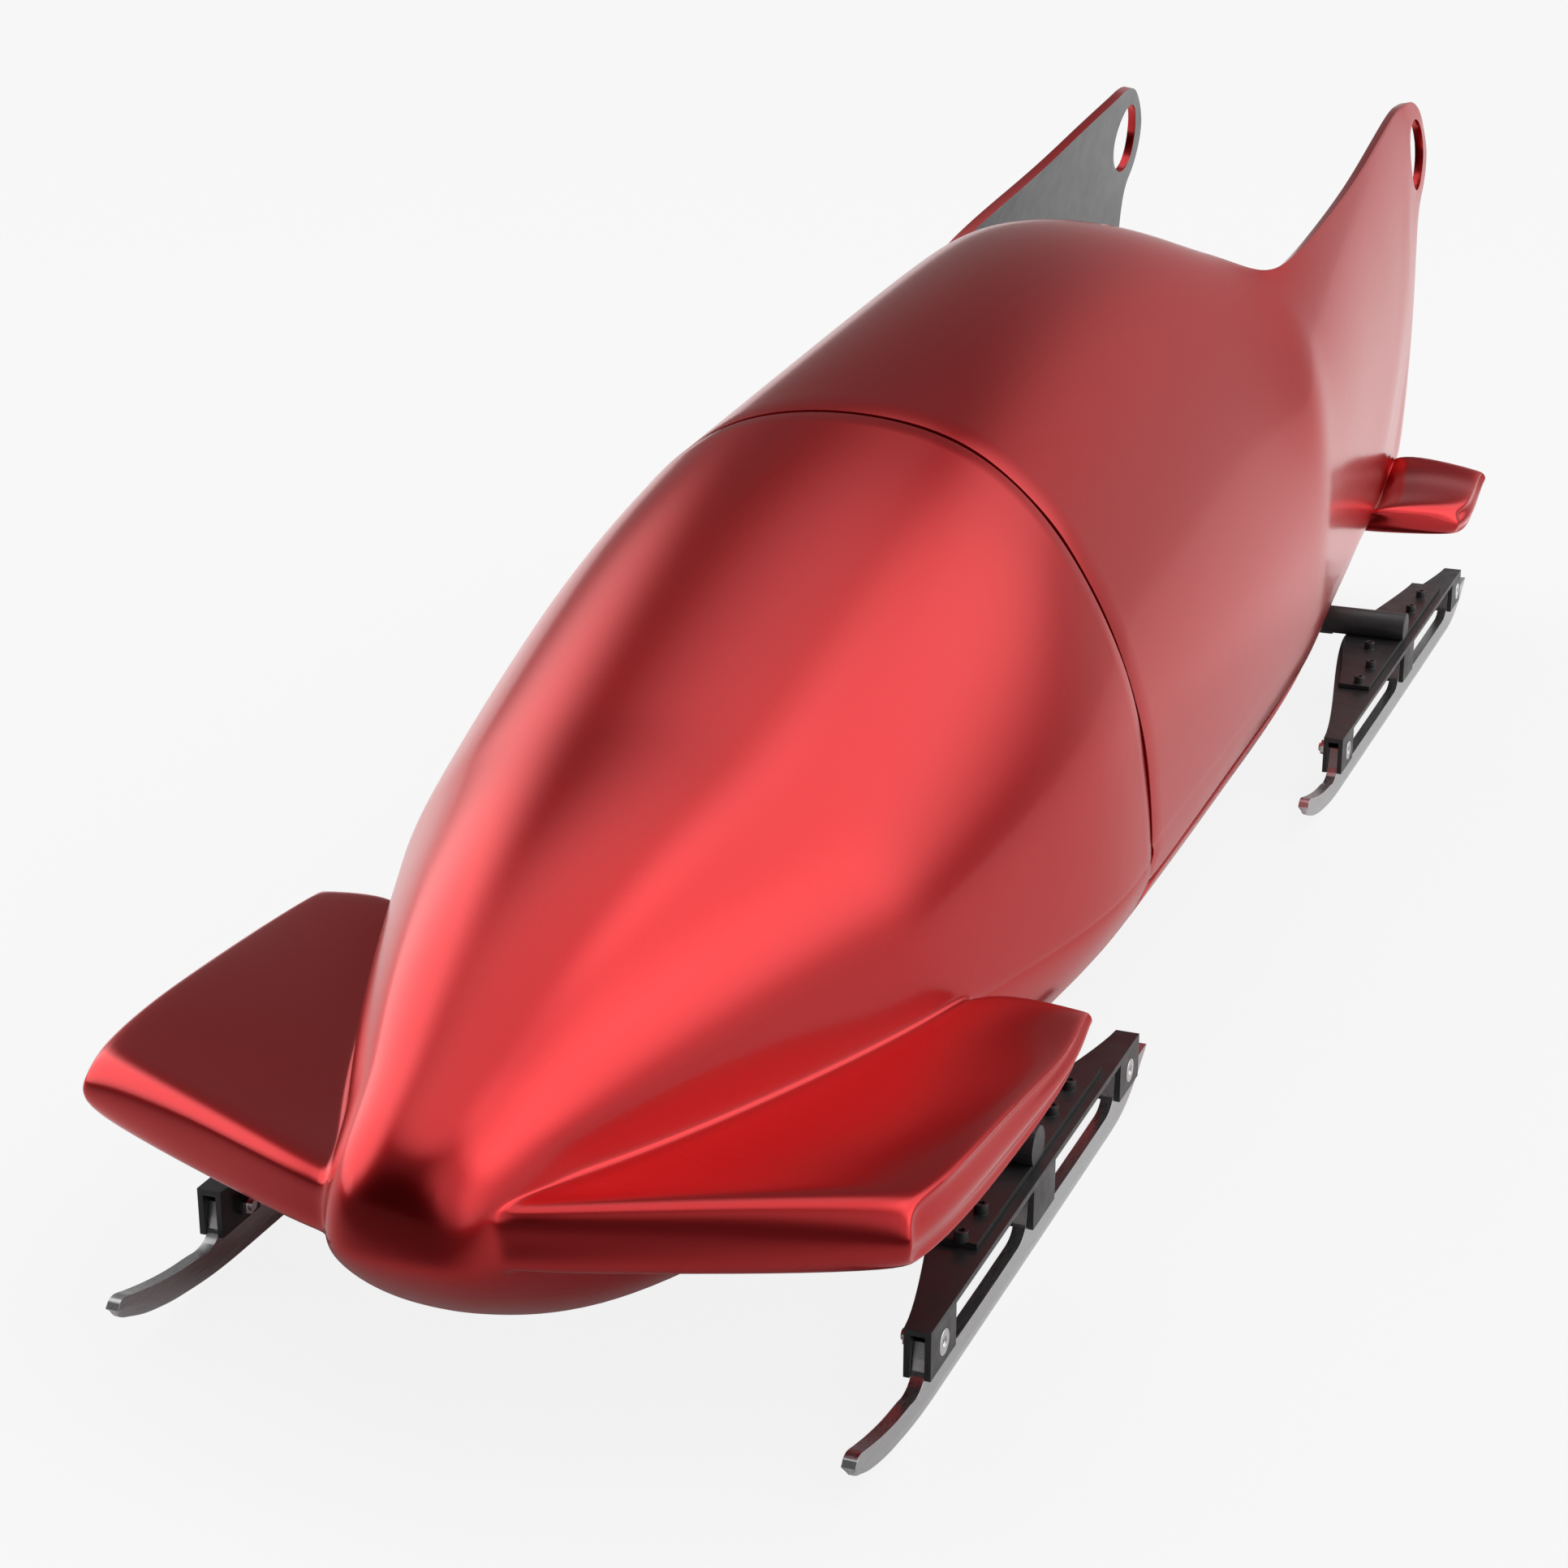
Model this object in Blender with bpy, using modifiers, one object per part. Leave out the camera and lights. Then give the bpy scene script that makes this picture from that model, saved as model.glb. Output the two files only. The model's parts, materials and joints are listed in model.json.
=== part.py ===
"""Two-person bobsled: moulded cowlings, frames, steering, brake, runner carriers and runners.

Metres, +Z up. The nose points to -Y, the ground is z = 0 and x = 0 is the middle of the sled.
"""

import math

import bmesh
import bpy
from mathutils import Vector

# Running gear
GAUGE = 0.670
FRONT_AXLE_Y = -0.8165
REAR_AXLE_Y = 0.8525
AXLE_Z = 0.1045
AXLE_RADIUS = 0.0195
AXLE_END = 0.005
GAP = 0.0003

# Runners and their carriers
RUNNER_WIDTH = 0.0122
RUNNER_TOP = 0.048
RUNNER_TOE_Z = 0.0545
RUNNER_CHAMFER = 0.0032
CARRIER_WALL = 0.0057
CARRIER_TOP = 0.083
CARRIER_WEB = 0.006
LEG_BOTTOM = 0.037
LEG_LENGTH = 0.0655
SADDLE_PLATE = 0.006
SADDLE_HEAD = 0.0095
SADDLE_HEAD_RADIUS = 0.0065
SEAT_GAP = 0.0008
END_BOLT_RADIUS = 0.005
END_BOLT_HEAD = 0.0085
END_BOLT_Z = 0.0565
BOSS_LENGTH = 0.009
BOSS_RADIUS = 0.0105
NUT_LENGTH = 0.008

# Steering
KINGPIN_X = 0.130
KINGPIN_RADIUS = 0.010
KNUCKLE_RADIUS = 0.022
KNUCKLE_BOTTOM = 0.0925
KNUCKLE_TOP = 0.1480
BEAM_BOTTOM = 0.1500
BEAM_TOP = 0.1780
SPINE_BOTTOM = 0.184
SPINE_TOP = 0.214
PIN_RADIUS = 0.0215
BUSH_RADIUS = 0.030
HOUSING_LENGTH = 0.070
PIN_PROUD = 0.0015
LEVER_PIN_RADIUS = 0.008
ARM_LENGTH = 0.1150
ARM_THICK = 0.010
ARM_BELOW = 0.002
LEVER_Z = 0.218
LEVER_THICK = 0.010
PULL_EYE_HALF = 0.006
STEER_PIN_RADIUS = 0.006
PULL_X = 0.060
PULL_ROD_RADIUS = 0.004
PIVOT_CLEARANCE = 0.0010
STEER_LIMIT = math.radians(6)

# Moulded shells
SEAM_Y = -0.4125
SEAM_GAP = 0.004
SEAM_TRIM = 0.008
NOSE_WALL = 0.005
HULL_WALL = 0.012
BELLY_WALL = 0.007
THIN_SHARE = 0.1
MARGIN_OUT = 0.008
MARGIN_IN = 0.0007
WING_THINNING = 0.6
EDGE_THINNING = 0.9
SLIT = 0.008
ROLL_Z = 0.150
HAND_HOLE_Y = 1.3295
HAND_HOLE_Z = 0.664
HAND_HOLE_RADIUS = 0.050
HOLE_DIAGONAL = HAND_HOLE_RADIUS * math.sqrt(0.5)
HOLE_FRONT = HAND_HOLE_Y - HAND_HOLE_RADIUS
HOLE_REAR = HAND_HOLE_Y + HAND_HOLE_RADIUS
HOLE_TOP = HAND_HOLE_Z + HAND_HOLE_RADIUS
HOLE_LOW = HAND_HOLE_Z - HAND_HOLE_RADIUS

# Frames and brake
RAIL_X = 0.100
RAIL_WIDTH = 0.030
RAIL_BOTTOM = 0.128
RAIL_TOP = 0.158
RAIL_END = 1.100
BRAKE_AXLE_Y = 1.020
BRAKE_AXLE_Z = 0.178
BRAKE_RADIUS = 0.010
CROSS_ABOVE_EDGE = 0.011
SEAT_PAN_Z = 0.230
SEAT_PAN_THICK = 0.005

# Body sections: y, half width, top, bottom, height of the widest line, upper and lower roundness, pinch
SECTIONS = [
    (-1.4085, 0.020, 0.235, 0.195, 0.215, 2.00, 2.00, 0.020),
    (-1.3675, 0.077, 0.311, 0.167, 0.216, 2.27, 2.35, 0.020),
    (-1.3025, 0.102, 0.345, 0.123, 0.217, 2.28, 2.39, 0.020),
    (-1.1325, 0.176, 0.429, 0.060, 0.221, 2.29, 2.45, 0.020),
    (-0.8825, 0.269, 0.510, 0.061, 0.224, 2.23, 2.44, 0.024),
    (-0.6325, 0.316, 0.593, 0.079, 0.228, 2.24, 2.34, 0.026),
    (-0.4125, 0.328, 0.660, 0.082, 0.227, 2.24, 2.31, 0.037),
    (-0.0825, 0.325, 0.708, 0.075, 0.239, 2.04, 2.39, 0.022),
    (0.2175, 0.317, 0.739, 0.068, 0.243, 2.06, 2.49, 0.020),
    (0.4165, 0.310, 0.696, 0.076, 0.254, 2.75, 2.50, 0.017),
    (0.8175, 0.274, 0.785, 0.091, 0.260, 3.30, 2.50, 0.020),
    (1.1175, 0.253, 0.860, 0.119, 0.270, 3.80, 2.49, 0.020),
    (1.3475, 0.231, 0.890, 0.148, 0.279, 4.20, 2.50, 0.020),
]

# Nose shell: y of each ring, then the heights of the wing's upper, middle and lower root rows there
NOSE_RINGS = [
    (-1.3980, 0.231, 0.216, 0.203),
    (-1.3675, 0.258, 0.230, 0.202),
    (-1.3025, 0.258, 0.230, 0.200),
    (-1.2000, 0.256, 0.230, 0.201),
    (-1.0700, 0.256, 0.231, 0.206),
    (-0.9400, 0.259, 0.238, 0.217),
    (-0.8350, 0.258, 0.244, 0.227),
    (-0.5900, 0.252, 0.230, 0.208),
    (SEAM_Y + SEAM_TRIM, 0.252, 0.230, 0.208),
]
NOSE_DECK_ROWS = 6
NOSE_BELLY_ROWS = 4
FRONT_WING_RINGS = (1, 6)

# Front wing tip, from the leading to the trailing edge: x, y, top, bottom
FRONT_WING_TIP = [
    (0.372, -1.2425, 0.262, 0.201),
    (0.380, -1.2050, 0.264, 0.200),
    (0.387, -1.1200, 0.263, 0.201),
    (0.392, -1.0150, 0.258, 0.206),
    (0.396, -0.9000, 0.250, 0.219),
    (0.388, -0.8300, 0.250, 0.226),
]

# Where a wing's cage has its loops, as shares of the span: from the root and from the tip
FRONT_WING_LOOPS = (0.20, 0.12)
REAR_WING_LOOPS = (0.16, 0.40)

# Hull shell: y of each ring, then the heights of the wing's three root rows and of the lower edge
HULL_RINGS = [
    (SEAM_Y - SEAM_TRIM, 0.262, 0.245, 0.228, 0.210),
    (-0.0800, 0.262, 0.245, 0.228, 0.210),
    (0.2700, 0.260, 0.240, 0.222, 0.200),
    (0.4300, 0.258, 0.238, 0.218, 0.196),
    (0.5300, 0.256, 0.235, 0.214, 0.194),
    (0.6900, 0.249, 0.227, 0.207, 0.187),
    (0.9000, 0.233, 0.211, 0.190, 0.171),
    (1.0750, 0.206, 0.186, 0.168, 0.154),
    (1.1400, 0.210, 0.190, 0.170, 0.156),
    (1.2000, 0.214, 0.194, 0.174, 0.160),
    (1.2600, 0.218, 0.199, 0.180, 0.165),
    (1.3050, 0.222, 0.205, 0.188, 0.172),
    (1.3425, 0.225, 0.210, 0.195, 0.180),
]
HULL_DECK_ROWS = 3
HULL_SIDE_ROWS = 6
LIP_RING = 3
REAR_WING_RINGS = (7, 11)
RIM_ANGLE = math.radians(38)

# The cockpit rim from the corner of the lip to the fin's upper rear corner: x, y, z, one for each ring
RIM = [
    (0.194, 0.4700, 0.655),
    (0.214, 0.5350, 0.649),
    (0.220, 0.6800, 0.662),
    (0.218, 0.8950, 0.686),
    (0.213, 1.0750, 0.714),
    (0.208, 1.2225, 0.737),
    (0.210, 1.2750, 0.7415),
    (0.212, 1.3250, 0.7390),
    (0.216, 1.3680, 0.7200),
    (0.218, 1.3970, 0.6920),
]
LIP = [(0.0, 0.4165, 0.696), (0.085, 0.4215, 0.690), (0.154, 0.4390, 0.673)]

# The hand hole's upper and lower points, as the fin's rows pass round it
HOLE_ARCH = [
    (HAND_HOLE_Y - HOLE_DIAGONAL, HAND_HOLE_Z + HOLE_DIAGONAL),
    (HAND_HOLE_Y, HOLE_TOP),
    (HAND_HOLE_Y + HOLE_DIAGONAL, HAND_HOLE_Z + HOLE_DIAGONAL),
]
HOLE_BOWL = [
    (HAND_HOLE_Y - HOLE_DIAGONAL, HAND_HOLE_Z - HOLE_DIAGONAL),
    (HAND_HOLE_Y, HOLE_LOW),
    (HAND_HOLE_Y + HOLE_DIAGONAL, HAND_HOLE_Z - HOLE_DIAGONAL),
]

# Side rows of the fin, below the rim: y and z at the last five rings, with None in the middle of the hole
FIN_ROWS = [
    [(1.2225, 0.700), *HOLE_ARCH, (1.4085, 0.665)],
    [(1.2225, 0.660), (HOLE_FRONT, HAND_HOLE_Z), None, (HOLE_REAR, HAND_HOLE_Z), (1.4030, 0.637)],
    [(1.2225, 0.610), *HOLE_BOWL, (1.3780, 0.606)],
    [(1.2200, 0.540), (1.2700, 0.545), (1.3000, 0.550), (1.3250, 0.556), (1.3440, 0.560)],
    [(1.2150, 0.400), (1.2650, 0.402), (1.2950, 0.405), (1.3180, 0.408), (1.3380, 0.410)],
]
FIN_RING = 8

# Rear wing tip: x, y, top, bottom
REAR_WING_TIP = [
    (0.352, 1.1675, 0.190, 0.152),
    (0.360, 1.1900, 0.196, 0.152),
    (0.361, 1.2350, 0.202, 0.158),
    (0.359, 1.2800, 0.206, 0.168),
    (0.352, 1.3150, 0.208, 0.182),
]

BELLY_RINGS = [SEAM_Y - SEAM_TRIM, -0.20, 0.05, 0.30, 0.56, 0.82, 1.08, 1.24, 1.34]
BELLY_ROWS = 5

# Front and rear end of each carrier, of its runner, and the places of its end bolts
FRONT_CARRIER = (-1.131, -0.5025)
REAR_CARRIER = (0.432, 1.232)
RUNNER_ENDS = {FRONT_CARRIER: (-1.2925, -0.4500), REAR_CARRIER: (0.2730, 1.3125)}
END_BOLTS = {FRONT_CARRIER: (-1.0965, -0.5335), REAR_CARRIER: (0.4700, 1.2100)}

# How far the carrier's top plate reaches inwards at the axle
CARRIER_WIDEST = 0.090


def clear_scene():
    for obj in list(bpy.data.objects):
        bpy.data.objects.remove(obj)


clear_scene()
SLED = bpy.data.collections.new("bobsled")
CUTTERS = bpy.data.collections.new("cutters")
bpy.context.scene.collection.children.link(SLED)
bpy.context.scene.collection.children.link(CUTTERS)
CUTTERS.hide_render = True


def finish_of(name, colour, roughness, metallic):
    mat = bpy.data.materials.new(name)
    mat.use_nodes = True
    shader = mat.node_tree.nodes["Principled BSDF"]
    shader.inputs["Base Color"].default_value = (*colour, 1)
    shader.inputs["Roughness"].default_value = roughness
    shader.inputs["Metallic"].default_value = metallic
    mat.diffuse_color = (*colour, 1)
    return mat


RED = finish_of("red_metallic_paint", (0.42, 0.010, 0.014), 0.35, 0.6)
BLACK = finish_of("black_paint", (0.015, 0.015, 0.016), 0.45, 0.0)
STEEL = finish_of("runner_steel", (0.55, 0.55, 0.56), 0.35, 1.0)
CHROME = finish_of("bright_bolt", (0.75, 0.75, 0.76), 0.15, 1.0)
ALLOY = finish_of("frame_alloy", (0.45, 0.46, 0.48), 0.40, 1.0)
BRONZE = finish_of("bush_bronze", (0.45, 0.30, 0.12), 0.40, 1.0)
GREY = finish_of("grey_laminate", (0.20, 0.20, 0.21), 0.60, 0.0)
PAD = finish_of("black_foam", (0.03, 0.03, 0.033), 0.90, 0.0)
RUBBER = finish_of("grip_rubber", (0.02, 0.02, 0.02), 0.80, 0.0)


def place(name, bm, mat, collection=SLED, smooth=True):
    bmesh.ops.recalc_face_normals(bm, faces=bm.faces)
    if bm.calc_volume(signed=True) < 0:
        bmesh.ops.reverse_faces(bm, faces=bm.faces)
    mesh = bpy.data.meshes.new(name)
    bm.to_mesh(mesh)
    bm.free()
    if smooth:
        mesh.shade_smooth()
        mesh.set_sharp_from_angle(angle=math.radians(35))
    obj = bpy.data.objects.new(name, mesh)
    collection.objects.link(obj)
    if mat:
        mesh.materials.append(mat)
    if collection is not SLED:
        obj.hide_render = True
        obj.display_type = "WIRE"
    return obj


def pivot(name, location):
    """An empty on a joint's axis, which carries the pieces that turn or slide there."""
    empty = bpy.data.objects.new(name, None)
    empty.location = location
    SLED.objects.link(empty)
    return empty


def hang(obj, empty):
    obj.parent = empty
    obj.matrix_parent_inverse.translation = -empty.location


def block(name, low, high, mat=None, collection=CUTTERS):
    bm = bmesh.new()
    bmesh.ops.create_cube(bm, size=1)
    for vert in bm.verts:
        for axis in range(3):
            vert.co[axis] = low[axis] if vert.co[axis] < 0 else high[axis]
    return place(name, bm, mat, collection)


def rod(name, start, end, radius, mat=None, collection=CUTTERS, sides=20, end_radius=None):
    start = Vector(start)
    along = Vector(end) - start
    bm = bmesh.new()
    bmesh.ops.create_cone(
        bm,
        cap_ends=True,
        segments=sides,
        radius1=radius,
        radius2=radius if end_radius is None else end_radius,
        depth=along.length,
    )
    turn = along.to_track_quat("Z", "Y").to_matrix()
    for vert in bm.verts:
        vert.co = start + along / 2 + turn @ vert.co
    return place(name, bm, mat, collection)


def slab(name, outline, thickness, to_world, mat=None, collection=CUTTERS, bevel=0.0):
    """A flat outline given as (u, v), pushed through a thickness (low, high) and placed by to_world."""
    bm = bmesh.new()
    low = [bm.verts.new(to_world(u, v, thickness[0])) for u, v in outline]
    high = [bm.verts.new(to_world(u, v, thickness[1])) for u, v in outline]
    bm.faces.new(low)
    bm.faces.new(high[::-1])
    count = len(outline)
    for i in range(count):
        nxt = (i + 1) % count
        bm.faces.new([low[nxt], low[i], high[i], high[nxt]])
    bmesh.ops.recalc_face_normals(bm, faces=bm.faces)
    if bevel:
        sole = [e for e in bm.edges if sorted(f.normal.z < -0.3 for f in e.link_faces) == [False, True]]
        long_ones = [e for e in sole if any(abs(f.normal.x) > 0.9 for f in e.link_faces)]
        bmesh.ops.bevel(bm, geom=long_ones, offset=bevel, segments=1, affect="EDGES")
    return place(name, bm, mat, collection)


def combine(obj, others, operation):
    """Joins or cuts with a group of helper solids in one exact Boolean."""
    group = bpy.data.collections.new(f"{obj.name}_{operation.lower()}")
    CUTTERS.children.link(group)
    for other in others:
        for owner in list(other.users_collection):
            owner.objects.unlink(other)
        group.objects.link(other)
        other.hide_render = True
        other.display_type = "WIRE"
    modifier = obj.modifiers.new(operation.lower(), "BOOLEAN")
    modifier.operation = operation
    modifier.operand_type = "COLLECTION"
    modifier.collection = group
    modifier.solver = "EXACT"
    return obj


def spline_value(before, start, end, after, t):
    return 0.5 * (
        2 * start
        + (end - before) * t
        + (2 * before - 5 * start + 4 * end - after) * t**2
        + (3 * start - before - 3 * end + after) * t**3
    )


def section_at(y):
    """The body section's values at y, on a smooth curve through the listed sections."""
    index = 0
    while index < len(SECTIONS) - 2 and y > SECTIONS[index + 1][0]:
        index += 1
    before = SECTIONS[max(index - 1, 0)]
    start = SECTIONS[index]
    end = SECTIONS[index + 1]
    after = SECTIONS[min(index + 2, len(SECTIONS) - 1)]
    low, high = 0.0, 1.0
    for _ in range(30):
        middle = (low + high) / 2
        if spline_value(before[0], start[0], end[0], after[0], middle) < y:
            low = middle
        else:
            high = middle
    return [spline_value(*values, low) for values in zip(before, start, end, after)]


def angle_at(section, z):
    """The section's angle, counted from the top, at which it has the height z."""
    _, _, top, bottom, widest, upper, lower, _ = section
    if z > widest:
        return math.acos(min(1.0, (z - widest) / (top - widest)) ** (upper / 2))
    return math.acos(-(min(1.0, (widest - z) / (widest - bottom)) ** (lower / 2)))


def skin(section, angle, inset=0.0):
    """A point of the body's surface, or of one that lies inset from it."""
    y, half, top, bottom, widest, upper, lower, pinch = section
    cosine, sine = math.cos(angle), abs(math.sin(angle))
    roundness = upper if cosine > 0 else lower
    height = (top if cosine > 0 else bottom) - widest
    reach = abs(cosine) ** (2 / roundness)
    x = half * sine ** (2 / roundness)
    if cosine > 0:
        x *= 1 - pinch * math.sin(2 * angle) ** 2
    scale_x = (half - inset) / half
    scale_z = (abs(height) - inset) / abs(height)
    return Vector((x * scale_x, y, widest + height * reach * scale_z))


def spread(first, last, count):
    return [first + (last - first) * step / count for step in range(count + 1)]


def limit_points(points, links):
    """Where the subdivided surface ends up for each corner of its cage."""
    found = []
    for index, (edges, diagonals, border) in enumerate(links):
        here = points[index]
        if border:
            found.append((points[border[0]] + here * 4 + points[border[1]]) / 6)
            continue
        count = len(edges)
        total = here * count * count
        for other in edges:
            total = total + points[other] * 4
        for other in diagonals:
            total = total + points[other]
        found.append(total / (count * (count + 5)))
    return found


def through_points(bm, held, rounds=4):
    """Moves the cage until its subdivided surface runs through the points that the cage was drawn with.

    Corners in held stay where they are.
    """
    bm.verts.index_update()
    links = []
    for vert in bm.verts:
        edges = [edge.other_vert(vert).index for edge in vert.link_edges]
        near = set(edges) | {vert.index}
        diagonals = [v.index for face in vert.link_faces for v in face.verts if v.index not in near]
        border = [e.other_vert(vert).index for e in vert.link_edges if e.is_boundary]
        links.append((edges, diagonals, border))
    targets = [vert.co.copy() for vert in bm.verts]
    points = [vert.co.copy() for vert in bm.verts]
    for _ in range(rounds):
        reached = limit_points(points, links)
        moves = [target - limit for target, limit in zip(targets, reached)]
        points = [p if i in held else p + move for i, (p, move) in enumerate(zip(points, moves))]
    for vert, point in zip(bm.verts, points):
        vert.co = point


class Cage:
    """A quad cage whose corners are named by keys, so that wings can be grown out of its faces."""

    def __init__(self):
        self.points = {}
        self.faces = []
        self.thin = {}

    def add(self, key, point):
        self.points[key] = Vector(point)

    def grid(self, rings, rows, skip, closed):
        """Faces between rings and rows, where row runs from -rows to rows round the body."""
        for ring in range(rings - 1):
            for row in range(-rows, rows):
                if skip(ring, min(abs(row), abs(row + 1))):
                    continue
                corners = [(ring, row), (ring, row + 1), (ring + 1, row + 1), (ring + 1, row)]
                if closed:
                    corners = [(i, rows if j == -rows else j) for i, j in corners]
                self.faces.append(corners)

    def wing(self, side, rings, band, tip, loops):
        """A wing grown from two rows of faces: loops along the span, then a closed tip."""
        span = (loops[0], 1 - loops[1], 1)
        first, last = rings
        columns = list(range(first, last + 1))

        def key(step, column, level):
            if step == 0:
                return (column, side * (band + level))
            return ("wing", side, step, column, level)

        for step, share in enumerate(span, start=1):
            for place_in_tip, column in enumerate(columns):
                x, y, top, bottom = tip[place_in_tip]
                middle = (top + bottom) / 2
                heights = (top, middle, bottom)
                edge = column in (first, last)
                for level in range(3):
                    if level == 1 and not edge and step < len(span):
                        continue
                    root = self.points[(column, side * (band + level))]
                    end = Vector((side * x, y, heights[level]))
                    if step == len(span) and level != 1:
                        end.z = middle + (end.z - middle) * 0.72
                        end.x -= side * 0.006
                    if level == 1 and column == first:
                        end.y -= 0.012
                    if level == 1 and column == last:
                        end.y += 0.006
                    self.add(key(step, column, level), root.lerp(end, share))
                    thinning = EDGE_THINNING if edge else WING_THINNING
                    self.thin[key(step, column, level)] = thinning
                    self.thin[(column, side * (band + level))] = thinning
        for step in range(len(span)):
            for column in columns[:-1]:
                for level in (0, 2):
                    self.faces.append(
                        [
                            key(step, column, level),
                            key(step, column + 1, level),
                            key(step + 1, column + 1, level),
                            key(step + 1, column, level),
                        ]
                    )
            for column in (first, last):
                for level in (0, 1):
                    self.faces.append(
                        [
                            key(step, column, level),
                            key(step, column, level + 1),
                            key(step + 1, column, level + 1),
                            key(step + 1, column, level),
                        ]
                    )
        end = len(span)
        for column in columns[:-1]:
            for level in (0, 1):
                self.faces.append(
                    [
                        key(end, column, level),
                        key(end, column + 1, level),
                        key(end, column + 1, level + 1),
                        key(end, column, level + 1),
                    ]
                )

    def shell(self, name, mat, wall, levels=1, proud=0.0, collection=SLED):
        """The subdivided shell with its wall inside, or with a margin that stands proud on both sides."""
        bm = bmesh.new()
        used = {key for face in self.faces for key in face}
        verts = {key: bm.verts.new(point) for key, point in self.points.items() if key in used}
        thinner = {number: self.thin[key] for number, key in enumerate(verts) if key in self.thin}
        for face in self.faces:
            bm.faces.new([verts[key] for key in face])
        bmesh.ops.recalc_face_normals(bm, faces=bm.faces)
        if levels:
            through_points(bm, {number for number, weight in thinner.items() if weight == 1.0})
        bm.normal_update()
        outward = sum(face.normal.dot(face.calc_center_median() - Vector((0, 0, 0.25))) for face in bm.faces)
        if outward < 0:
            bmesh.ops.reverse_faces(bm, faces=bm.faces)
        mesh = bpy.data.meshes.new(name)
        bm.to_mesh(mesh)
        bm.free()
        mesh.shade_smooth()
        obj = bpy.data.objects.new(name, mesh)
        collection.objects.link(obj)
        if mat:
            mesh.materials.append(mat)
        if collection is not SLED:
            obj.hide_render = True
            obj.display_type = "WIRE"
        if levels:
            smooth = obj.modifiers.new("smooth", "SUBSURF")
            smooth.levels = levels
            smooth.render_levels = levels
        outward = MARGIN_OUT if proud else 0.0
        thick = wall + proud + outward
        solid = obj.modifiers.new("wall", "SOLIDIFY")
        solid.thickness = thick
        solid.offset = 2 * outward / thick - 1
        solid.use_even_offset = False
        if thinner:
            group = obj.vertex_groups.new(name="thin_wall")
            for number, weight in thinner.items():
                group.add([number], weight, "REPLACE")
            solid.vertex_group = group.name
            solid.invert_vertex_group = True
            solid.thickness_vertex_group = THIN_SHARE
        return obj


def nose_cage():
    cage = Cage()
    rows = NOSE_DECK_ROWS + 2 + NOSE_BELLY_ROWS
    for ring, (y, top, middle, low) in enumerate(NOSE_RINGS):
        section = section_at(y)
        top_angle = angle_at(section, top)
        low_angle = angle_at(section, low)
        angles = spread(0, top_angle, NOSE_DECK_ROWS)
        angles += [angle_at(section, middle)]
        angles += spread(low_angle, math.pi, NOSE_BELLY_ROWS)
        for row, angle in enumerate(angles):
            point = skin(section, angle)
            cage.add((ring, row), point)
            cage.add((ring, -row), (-point.x, point.y, point.z))
        del cage.points[(ring, -rows)]
    wing_first, wing_last = FRONT_WING_RINGS

    def in_wing(ring, row):
        return wing_first <= ring < wing_last and row in (NOSE_DECK_ROWS, NOSE_DECK_ROWS + 1)

    cage.grid(len(NOSE_RINGS), rows, in_wing, closed=True)
    for side in (1, -1):
        cage.wing(side, FRONT_WING_RINGS, NOSE_DECK_ROWS, FRONT_WING_TIP, FRONT_WING_LOOPS)
    close_nose(cage, rows)
    return cage


def close_nose(cage, rows):
    """A grid of faces over the first ring, bulged forward to the nose's foremost point."""
    side = rows // 2
    ring = [0] + list(range(1, rows + 1)) + list(range(-rows + 1, 0))
    start = -side // 2
    loop = [(0, ring[(start + step) % (2 * rows)]) for step in range(2 * rows)]
    names = {}
    for step in range(side):
        names[(step, 0)] = loop[step]
        names[(side, step)] = loop[side + step]
        names[(side - step, side)] = loop[2 * side + step]
        names[(0, side - step)] = loop[3 * side + step]
    for key in cage.points:
        if key[0] == 0:
            cage.thin[key] = 1.0
    tip_y = SECTIONS[0][0]
    for a in range(1, side):
        for b in range(1, side):
            s, t = a / side, b / side
            p = cage.points
            edge = (
                p[names[(a, 0)]] * (1 - t)
                + p[names[(a, side)]] * t
                + p[names[(0, b)]] * (1 - s)
                + p[names[(side, b)]] * s
            )
            corner = (
                p[names[(0, 0)]] * (1 - s) * (1 - t)
                + p[names[(side, 0)]] * s * (1 - t)
                + p[names[(0, side)]] * (1 - s) * t
                + p[names[(side, side)]] * s * t
            )
            point = edge - corner
            bulge = (16 * s * (1 - s) * t * (1 - t)) ** 0.85
            point.y += (tip_y - point.y) * bulge
            names[(a, b)] = ("cap", a, b)
            cage.add(("cap", a, b), point)
            cage.thin[("cap", a, b)] = 1.0
    for a in range(side):
        for b in range(side):
            cage.faces.append([names[(a, b)], names[(a + 1, b)], names[(a + 1, b + 1)], names[(a, b + 1)]])


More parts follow.
